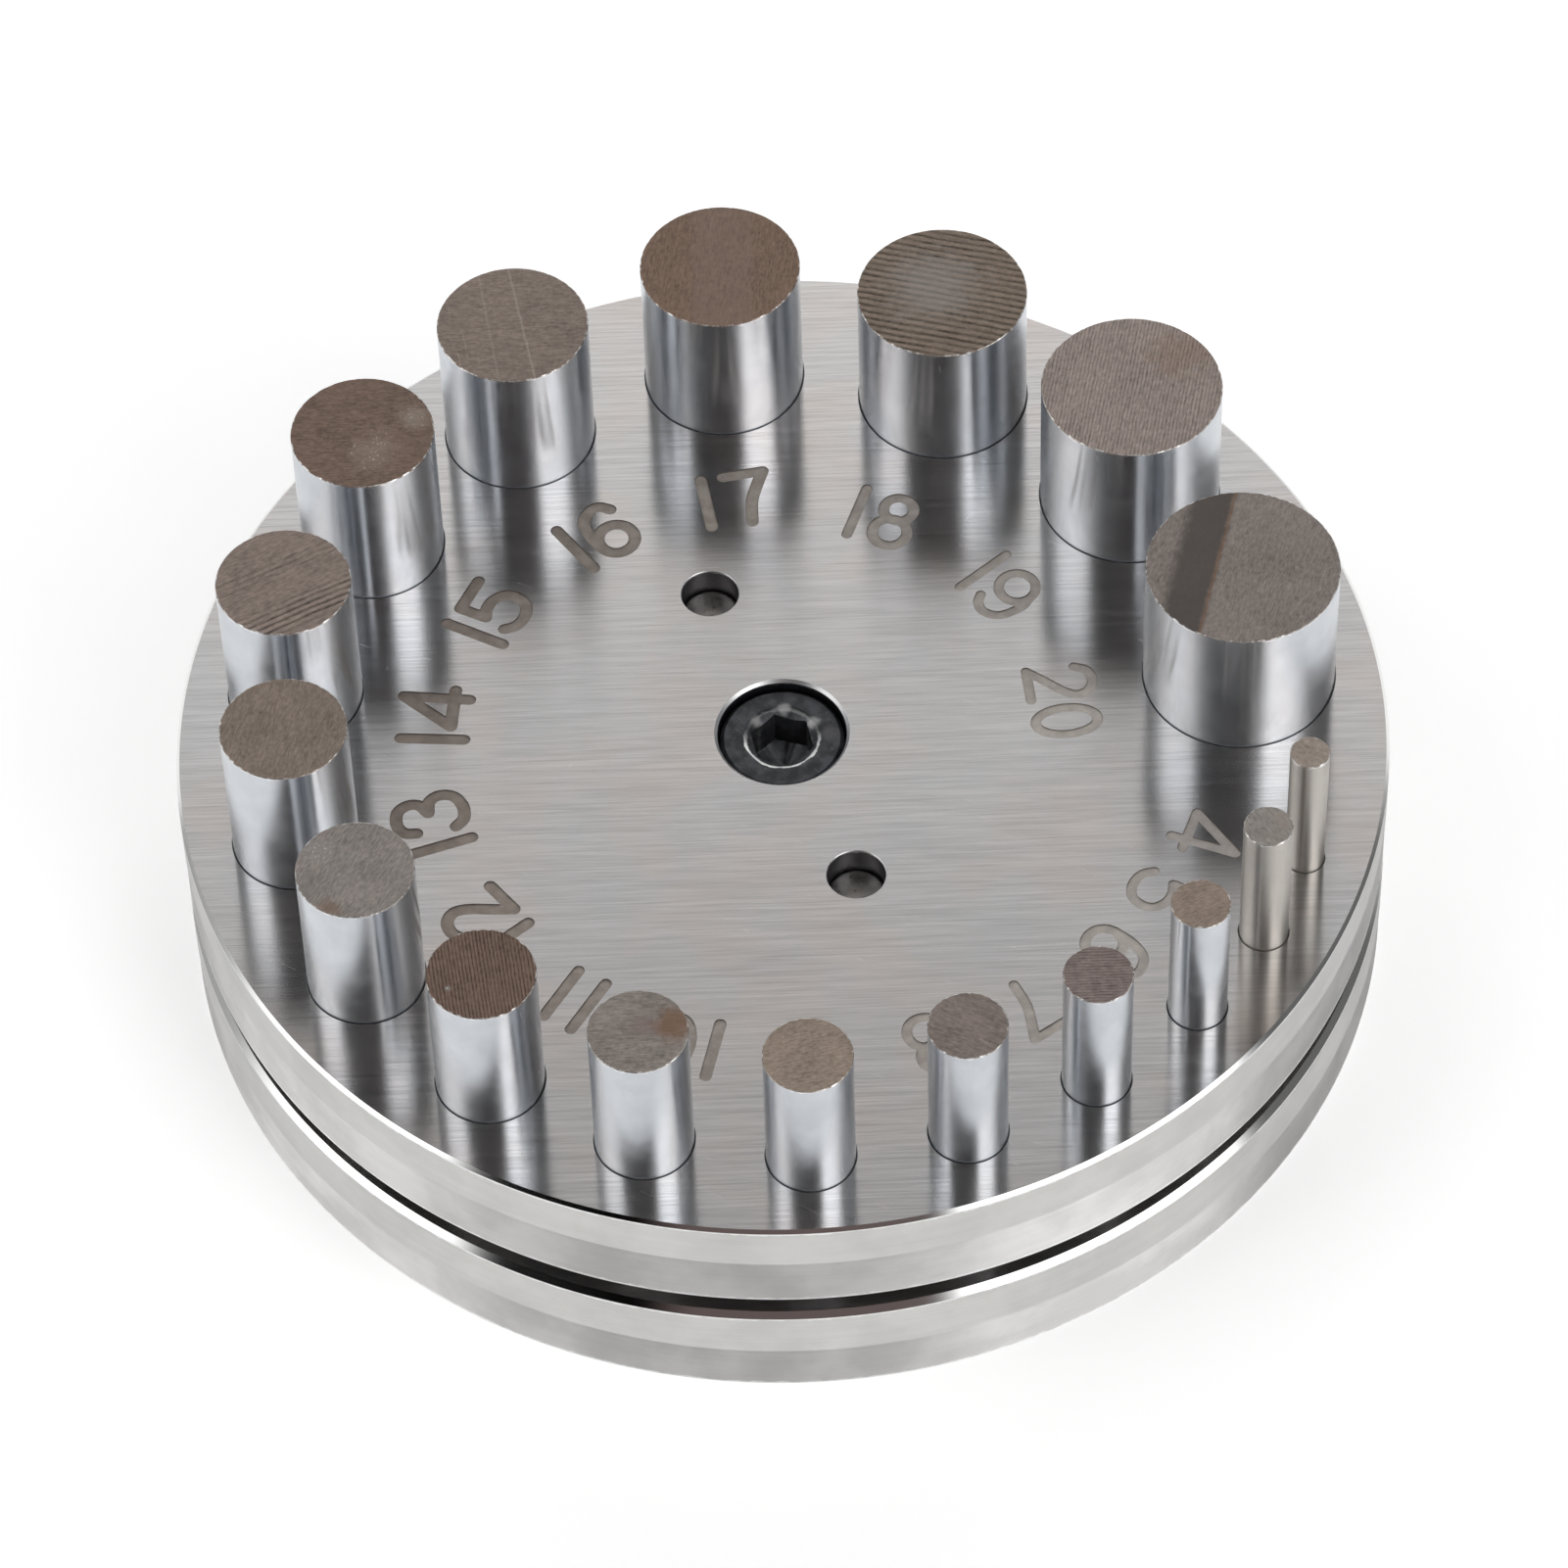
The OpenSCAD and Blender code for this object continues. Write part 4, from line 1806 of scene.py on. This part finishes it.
PUNCHES = (
    Punch(4, StruckEnd((0.355, 0.303, 0.265), lay=-35, scratched=0.5, scratch_lay=-40), SATIN),
    Punch(5, StruckEnd((0.327, 0.301, 0.275), lay=-60, scratched=0.5, scratch_lay=-60, marks=(
        Patch(0.6, 0.2, 0.6, (0.3, 0.26, 0.23), 0.6),
    )), SATIN),
    Punch(6, StruckEnd((0.318, 0.255, 0.212), lay=20)),
    Punch(7, StruckEnd((0.255, 0.208, 0.194), ribs=0.5, rib_lay=0, pitch=0.35 * MM)),
    Punch(8, StruckEnd((0.265, 0.222, 0.199), lay=-30, scratched=0.8, scratch_lay=-35)),
    Punch(9, StruckEnd((0.342, 0.277, 0.227), lay=15)),
    Punch(10, StruckEnd((0.302, 0.268, 0.243), marks=(
        Patch(0.72, 0.15, 0.55, RUST, 0.75),
        Patch(0.1, 0.1, 0.4, (0.24, 0.18, 0.17), 0.5),
    ))),
    Punch(11, StruckEnd((0.195, 0.137, 0.11), lay=90, ribs=0.8, rib_lay=97, pitch=0.36 * MM, marks=(
        Patch(-0.6, -0.3, 0.08, PALE, sparks=1.0),
    ))),
    Punch(12, StruckEnd((0.304, 0.274, 0.254), lay=60, marks=(
        Patch(-0.62, 0.45, 0.3, PALE, 0.5, sparks=1.0),
        Patch(-0.45, -0.8, 0.3, RUST, 0.5),
    ))),
    Punch(13, StruckEnd((0.258, 0.21, 0.176), lay=75)),
    Punch(14, StruckEnd((0.274, 0.222, 0.194), lay=30, ribs=1.0, rib_lay=27, pitch=0.72 * MM,
                        spans=((-0.85, -0.35, 1.0), (0.15, 0.45, 0.45)))),
    Punch(15, StruckEnd((0.207, 0.149, 0.12), marks=(
        Patch(0.15, -0.35, 0.45, (0.3, 0.24, 0.2), 0.45, sparks=1.0),
        Patch(0.75, 0.25, 0.3, (0.3, 0.26, 0.22), 0.5, sparks=0.8),
    ))),
    Punch(16, StruckEnd((0.255, 0.208, 0.179), scratched=0.8, scratch_lay=98, marks=(
        Band(100, -0.13, -0.13, (0.5, 0.46, 0.42), 0.5, soft=0.03),
        Band(98, 0.31, 0.31, (0.5, 0.45, 0.4), 0.3, soft=0.03),
    ))),
    Punch(17, StruckEnd((0.222, 0.154, 0.118), lay=80, marks=(
        Band(88, -0.4, 0.3, (0.22, 0.175, 0.15), 0.3),
    ))),
    Punch(18, StruckEnd((0.22, 0.176, 0.142), lay=-16, ribs=1.0, rib_lay=-16, pitch=0.84 * MM, marks=(
        Patch(-0.1, 0.1, 0.75, PALE, 0.5),
    ))),
    Punch(19, StruckEnd((0.334, 0.28, 0.253), lay=75, ribs=0.5, rib_lay=78, pitch=0.38 * MM, marks=(
        Patch(0.55, 0.45, 0.45, RUST, 0.3),
    ))),
    Punch(20, StruckEnd((0.264, 0.229, 0.208), lay=70, scratched=0.5, scratch_lay=55, marks=(
        Band(75, 0.26, 0.66, SAWN, 0.9),
        Band(75, 0.25, 0.265, RUST, 0.65, soft=0.025),
    ))),
)


class PunchSet(Assembly):
    """The seventeen loose punches."""

    def build(self) -> list[Piece]:
        """Builds every punch."""
        return [self.fit(punch.build(), punch.node, punch.node, "punch_steel") for punch in Punch.all()]


# ---------------------------------------------------------------------------
# Clamp screw, dowel pins and lift springs
# ---------------------------------------------------------------------------


@dataclass
class ClampScrew(Assembly):
    """The socket head screw that clamps the guide plate down."""

    node: str = "clamp_screw"
    tip: float = 6.2 * MM
    seat: float = 18.2 * MM
    top: float = 26.2 * MM
    shank: float = 4 * MM
    thread_depth: float = 0.65 * MM
    tip_chamfer: float = 0.8 * MM
    head: float = 6.5 * MM
    head_chamfer: float = 0.45 * MM
    seat_break: float = 0.2 * MM
    flutes: int = 48
    flute_depth: float = 0.06 * MM
    # The smooth stretch at each end of the flutes, and how far they take to fade out there
    smooth: float = 0.6 * MM
    run_out: float = 0.3 * MM
    key_flat: float = 3 * MM
    key_depth: float = 4.5 * MM
    key_turn: float = math.radians(-18)
    # Half the angle of the drill point under the socket, in degrees
    drill_point: float = 59
    mouth: float = 3.928 * MM
    # How far the mouth's cone runs for each unit that it drops
    cone_run: float = math.sqrt(3)
    # Half the width of the rubbed lip round the socket's mouth, and its drop
    lip: float = 0.12 * MM
    lip_drop: float = 0.07 * MM
    # How far the lip's wear reaches over the top, down the cone and down the socket's walls
    top_fade: float = 0.3 * MM
    cone_fade: float = 0.4 * MM
    wall_fade: float = 0.5 * MM
    # The broken corner at the socket's floor, upwards and inwards, and the blunt drill point
    floor_rise: float = 0.05 * MM
    floor_step: float = 0.01 * MM
    blunt: float = 0.02 * MM
    # How far the thread's lowest ring stands back from its crests
    thread_start: float = 0.02 * MM
    sides: int = 192

    def key(self, angle: float) -> float:
        """Gives the radius of the hex socket at an angle from one of its corners."""
        sixth = math.pi / 3
        return self.key_flat / math.cos((angle % sixth) - sixth / 2)

    def knurl(self, angle: float) -> float:
        """Gives the radius of the fluted head at an angle."""
        return self.head - self.flute_depth * (0.5 + 0.5 * math.cos(self.flutes * angle))

    def head_stops(self) -> list[Stop]:
        """Gives the head's rings.

        Returns:
            The rings, from the seat over the top to the socket's floor.
        """
        cone = self.top - (self.mouth - self.key_flat) / self.cone_run
        floor = self.top - self.key_depth
        point = self.key_flat / math.tan(math.radians(self.drill_point))
        edge = self.top - self.head_chamfer

        def brim(angle: float) -> float:
            """Gives the height where the mouth's cone meets the hex socket."""
            return cone + (self.key(angle) - self.key_flat) / self.cone_run

        def below(angle: float) -> float:
            """Gives the height on the socket's wall where its wear ends."""
            return brim(angle) - self.wall_fade

        return [
            Stop(self.shank - self.thread_depth, self.seat),
            Stop(self.head - self.seat_break, self.seat),
            Stop(self.head, self.seat + self.seat_break),
            Stop(self.head, self.seat + self.smooth),
            Stop(self.knurl, self.seat + self.smooth + self.run_out),
            Stop(self.knurl, edge - self.smooth - self.run_out),
            Stop(self.head, edge - self.smooth),
            Stop(self.head, edge, 0, 0.3),
            Stop(self.head - self.head_chamfer, self.top, 0, 0.3),
            Stop(self.mouth + self.top_fade, self.top),
            Stop(self.mouth + self.lip, self.top, 0, 0.6),
            Stop(self.mouth - self.lip, self.top - self.lip_drop, 0, 1.0),
            Stop(self.mouth - self.cone_fade, self.top - self.cone_fade / self.cone_run, 0, 0.3),
            Stop(self.key, brim, 0, 0.45),
            Stop(self.key, below),
            Stop(self.key, floor + self.floor_rise),
            Stop(self.key_flat - self.floor_step, floor),
            Stop(self.blunt, floor - point),
        ]

    def build(self) -> list[Piece]:
        """Builds the screw.

        Returns:
            The piece.
        """
        shell = Shell()
        head = shell.lathe((0, 0), self.head_stops(), self.sides, self.key_turn)
        shell.face(head[-1])
        thread = Thread(self.shank, self.thread_depth, self.tip + self.tip_chamfer, self.seat)
        stops = [Stop(radius, z) for radius, z in thread.rings()]
        stops[0] = Stop(self.shank - self.thread_start, stops[0].z)
        stops[-1] = Stop(self.shank - self.thread_depth, self.seat)
        shank = shell.lathe((0, 0), [Stop(self.shank - self.tip_chamfer, self.tip), *stops], self.sides,
                            self.key_turn)
        shell.face(shank[0])
        piece = shell.build(f"{self.node}_detailed", [Blacked().material("black oxide screw")])
        return [self.fit(piece, self.node, "screw", "black_oxide_steel")]


@dataclass(frozen=True)
class Pin:
    """A dowel pin, pressed into the die plate."""

    node: str
    radius: float = 3 * MM
    chamfer: float = 0.5 * MM
    round_steps: int = 4

    @property
    def centre(self) -> Flat:
        """Gives the pin's middle."""
        return middle_of(self.node)

    @staticmethod
    def all() -> tuple[Pin, ...]:
        """Gives both pins."""
        return Pin("dowel_pin_rear"), Pin("dowel_pin_front")

    def build(self) -> Piece:
        """Builds the pin.

        Returns:
            The piece, with a lead-in at the foot and a rounded upper edge.
        """
        low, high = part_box(self.node)
        foot, top = low[2], high[2]
        stops = [
            Stop(self.radius - self.chamfer, foot, 0, 0.6),
            Stop(self.radius, foot + self.chamfer, 0, 0.6),
        ]
        for step in range(self.round_steps + 1):
            turn = math.radians(90 * step / self.round_steps)
            stops.append(Stop(self.radius - self.chamfer * (1 - math.cos(turn)),
                              top - self.chamfer * (1 - math.sin(turn)), 0, 0.5))
        shell = Shell()
        rings = shell.lathe(self.centre, stops, round_sides(self.radius))
        shell.face(rings[0])
        shell.face(rings[-1])
        return shell.build(f"{self.node}_detailed", [PinSteel().material(f"{self.node} steel")])


class DowelPins(Assembly):
    """The two pins that keep the plates in line."""

    def build(self) -> list[Piece]:
        """Builds both pins."""
        return [self.fit(pin.build(), pin.node, "base", "pin_steel") for pin in Pin.all()]


@dataclass
class LiftSprings(Assembly):
    """The coil springs round the pins, which lift the guide plate off the sheet."""

    nodes: tuple[str, ...] = ("lift_spring_rear", "lift_spring_front")
    pin_angles: tuple[float, ...] = (110.5, 290.5)
    coil: float = 3.7 * MM
    wire: float = 0.35 * MM
    turns: float = 4.5
    low: float = 7.45 * MM
    high: float = 15.05 * MM
    pull_in: float = 0.25
    rings_a_turn: int = 40
    sides: int = 16
    # The share of the wire to either side of a point that gives its direction there
    nudge: float = 0.001

    def middle(self, share: float, centre: Flat, start: float) -> Vector:
        """Gives the middle of the wire at a share of its length.

        Args:
            share: The share, from 0 at the foot to 1 at the top.
            centre: The middle of the coil.
            start: The angle of the wire's lower end, in radians.

        Returns:
            The point.
        """
        rise = share - self.pull_in * math.sin(math.tau * share) / math.tau
        z = self.low + self.wire + (self.high - self.low - 2 * self.wire) * rise
        return Vector((*polar(self.coil, start + math.tau * self.turns * share, centre), z))

    def spring(self, node: str, angle: float) -> Piece:
        """Builds one spring.

        Args:
            node: The spring's node.
            angle: The direction of its pin, in degrees.

        Returns:
            The piece.
        """
        centre = middle_of(node.replace("lift_spring", "dowel_pin"))
        start = math.radians(angle)
        count = round(self.turns * self.rings_a_turn)
        shell = Shell()
        rings = []
        for step in range(count + 1):
            share = step / count
            here, ahead, behind = (self.middle(share + shift, centre, start)
                                   for shift in (0.0, self.nudge, -self.nudge))
            way = (ahead - behind).normalized()
            out = Vector((here.x - centre[0], here.y - centre[1], 0)).normalized()
            up = out.cross(way).normalized()
            rings.append([
                shell.point(tuple(here + self.wire * (math.cos(turn) * out + math.sin(turn) * up)))
                for turn in (math.tau * side / self.sides for side in range(self.sides))
            ])
        for first, second in zip(rings, rings[1:]):
            shell.skin(first, second)
        shell.face(rings[0])
        shell.face(rings[-1])
        return shell.build(f"{node}_detailed", [SpringWire().material(f"{node} wire")])

    def build(self) -> list[Piece]:
        """Builds both springs.

        Returns:
            The springs.
        """
        made = []
        for node, angle in zip(self.nodes, self.pin_angles):
            piece = self.spring(node, angle)
            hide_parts(node)
            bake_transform(piece)
            made.append(piece)
        return made


# ---------------------------------------------------------------------------
# Studio
# ---------------------------------------------------------------------------


@dataclass(frozen=True)
class Panel:
    """A soft patch of the studio round the object, placed by direction in degrees.

    An azimuth of 0 is the front, and it grows towards the right.
    """

    azimuth: float
    half_width: float
    low: float
    high: float
    radiance: float
    tint: Colour = (1.0, 1.0, 1.0)
    feather: float = 6.0

    def over(self, graph: Graph, azimuth: Feed, elevation: Feed, colour: Feed) -> Socket:
        """Puts the panel over what is behind it.

        Args:
            graph: The world's graph.
            azimuth: The direction's azimuth.
            elevation: The direction's elevation.
            colour: The light from behind the panel.

        Returns:
            The light with the panel.
        """
        off = graph.math("WRAP", graph.math("SUBTRACT", azimuth, self.azimuth), 180.0, -180.0)
        edge = self.half_width
        mask = graph.step(graph.math("ABSOLUTE", off), edge + self.feather, edge - self.feather)
        foot = graph.step(elevation, self.low - self.feather, self.low + self.feather)
        roof = graph.step(elevation, self.high + self.feather, self.high - self.feather)
        mask = graph.math("MULTIPLY", mask, graph.math("MULTIPLY", foot, roof))
        return graph.mix(mask, colour, tuple(self.radiance * part for part in self.tint))


@dataclass
class Studio:
    """The camera, a pale floor and soft light from all round."""

    distance: float = 774.2 * MM
    elevation: float = 51.662
    yaw: float = -0.0468
    pitch: float = -0.3529
    roll: float = -2.0299
    target: float = 27.2 * MM
    lens: float = 171.085
    sensor: float = 36.0
    clip: tuple[float, float] = (0.01, 50.0)
    shift: Flat = (0.0041, -0.0039)
    floor_half: float = 4.0
    floor_drop: float = 0.02 * MM
    floor_tone: float = 0.83
    floor_lift: float = 0.36
    surround: float = 0.8
    horizon: float = 1.0
    # The elevations between which the horizon's light gives way to the surround's
    blend: Flat = (26.0, 38.0)
    panels: tuple[Panel, ...] = (
        Panel(180, 38, 22, 46.5, 2.05),
        Panel(180, 60, 52, 100, 0.05),
        Panel(-15, 40, 19, 110, 0.0),
        Panel(51, 24, 6, 130, 2.6),
        Panel(-85, 27, 16, 130, 1.9),
        Panel(108, 33, 0, 130, 0.14),
        Panel(-130, 20, -20, 130, 0.25),
        Panel(-108, 12, -20, 14, 0.4),
        Panel(0, 22, 30, 44, 0.12, (1.2, 0.92, 0.88), feather=5.0),
    )

    def camera(self) -> Piece:
        """Makes the camera and gives it to the scene.

        Returns:
            The camera, where the photograph was taken from.
        """
        tilt = math.radians(self.elevation)
        place = Vector((0, -self.distance * math.cos(tilt), self.distance * math.sin(tilt)))
        ahead, right = -place.normalized(), Vector((1, 0, 0))
        up = right.cross(ahead)
        yaw, pitch, roll = (math.radians(angle) for angle in (self.yaw, self.pitch, self.roll))
        level = ahead * math.cos(yaw) + right * math.sin(yaw)
        sight = (level * math.cos(pitch) + up * math.sin(pitch)).normalized()
        right = sight.cross(up).normalized()
        up = right.cross(sight)
        across = right * math.cos(roll) + up * math.sin(roll)
        upward = up * math.cos(roll) - right * math.sin(roll)
        place.z += self.target
        lens = bpy.data.cameras.new("camera")
        lens.lens, lens.sensor_width = self.lens, self.sensor
        lens.shift_x, lens.shift_y = self.shift
        lens.clip_start, lens.clip_end = self.clip
        made = bpy.data.objects.new("camera", lens)
        made.matrix_world = Matrix((
            (across.x, upward.x, -sight.x, place.x),
            (across.y, upward.y, -sight.y, place.y),
            (across.z, upward.z, -sight.z, place.z),
            (0, 0, 0, 1),
        ))
        bpy.context.scene.collection.objects.link(made)
        bpy.context.scene.camera = made
        return made

    def seen(self, graph: Graph) -> Socket:
        """Finds what the camera sees directly, in metal or through glass.

        Args:
            graph: The floor's graph.

        Returns:
            1 for what it sees, and 0 for the rest.
        """
        path = graph.node("ShaderNodeLightPath").outputs
        seen = graph.math("MAXIMUM", path["Is Camera Ray"], path["Is Glossy Ray"])
        return graph.math("MAXIMUM", seen, path["Is Transmission Ray"])

    def floor(self) -> Piece:
        """Makes the floor.

        Returns:
            The floor, which shows white and keeps the object's shadow.
        """
        material = bpy.data.materials.new("pale floor")
        material.use_nodes = True
        material.node_tree.nodes.clear()
        graph = Graph(material.node_tree)
        place = graph.node("ShaderNodeTexCoord").outputs["Object"]
        mottle = MOTTLE.place(graph, vector=place, size=60 * MM)
        shade = graph.total(self.floor_tone, (mottle["Stain"], 0.01))
        diffuse = graph.node("ShaderNodeBsdfDiffuse", {"Color": graph.join(shade, shade, shade)})
        strength = graph.math("MULTIPLY", self.seen(graph), self.floor_lift)
        glow = graph.node("ShaderNodeEmission", {"Color": (1, 1, 1, 1), "Strength": strength})
        both = graph.node("ShaderNodeAddShader")
        graph.feed(both.inputs[0], diffuse.outputs[0])
        graph.feed(both.inputs[1], glow.outputs[0])
        graph.node("ShaderNodeOutputMaterial", {"Surface": both.outputs[0]})
        shell = Shell()
        half = self.floor_half
        corners = ((-half, -half), (half, -half), (half, half), (-half, half))
        shell.face([shell.point((x, y, -self.floor_drop)) for x, y in corners])
        piece = shell.build("floor", [material])
        return piece

    def world(self) -> None:
        """Sets the light that comes from all round."""
        made = bpy.data.worlds.new("studio")
        made.use_nodes = True
        made.node_tree.nodes.clear()
        graph = Graph(made.node_tree)
        x, y, z = graph.split(graph.node("ShaderNodeTexCoord").outputs["Generated"])
        azimuth = graph.math("DEGREES", graph.math("ARCTAN2", x, graph.math("MULTIPLY", y, -1.0)))
        elevation = graph.math("DEGREES", graph.math("ARCSINE", z))
        level = graph.step(elevation, *self.blend, self.horizon, self.surround)
        colour = graph.join(level, level, level)
        for panel in self.panels:
            colour = panel.over(graph, azimuth, elevation, colour)
        path = graph.node("ShaderNodeLightPath").outputs
        colour = graph.mix(path["Is Camera Ray"], colour, (1.0, 1.0, 1.0))
        light = graph.node("ShaderNodeBackground", {"Color": colour, "Strength": 1.0})
        graph.node("ShaderNodeOutputWorld", {"Surface": light.outputs[0]})
        bpy.context.scene.world = made

    def build(self) -> list[Piece]:
        """Builds the studio.

        Returns:
            The camera and the floor.
        """
        bpy.context.scene.view_settings.view_transform = "Standard"
        self.world()
        return [self.camera(), self.floor()]


def main() -> None:
    """Builds the studio and every sub-assembly, and reports each piece."""
    logging.basicConfig(level=logging.INFO, format="%(name)s: %(message)s", stream=sys.stdout)
    for part in (Studio(), DiePlate(), GuidePlate(), PunchSet(), ClampScrew(), DowelPins(), LiftSprings()):
        for piece in part.build():
            faces = len(piece.data.polygons) if piece.type == "MESH" else 0
            log.info("%s: %s, %d faces", type(part).__name__, piece.name, faces)


if __name__ == "__main__":
    main()
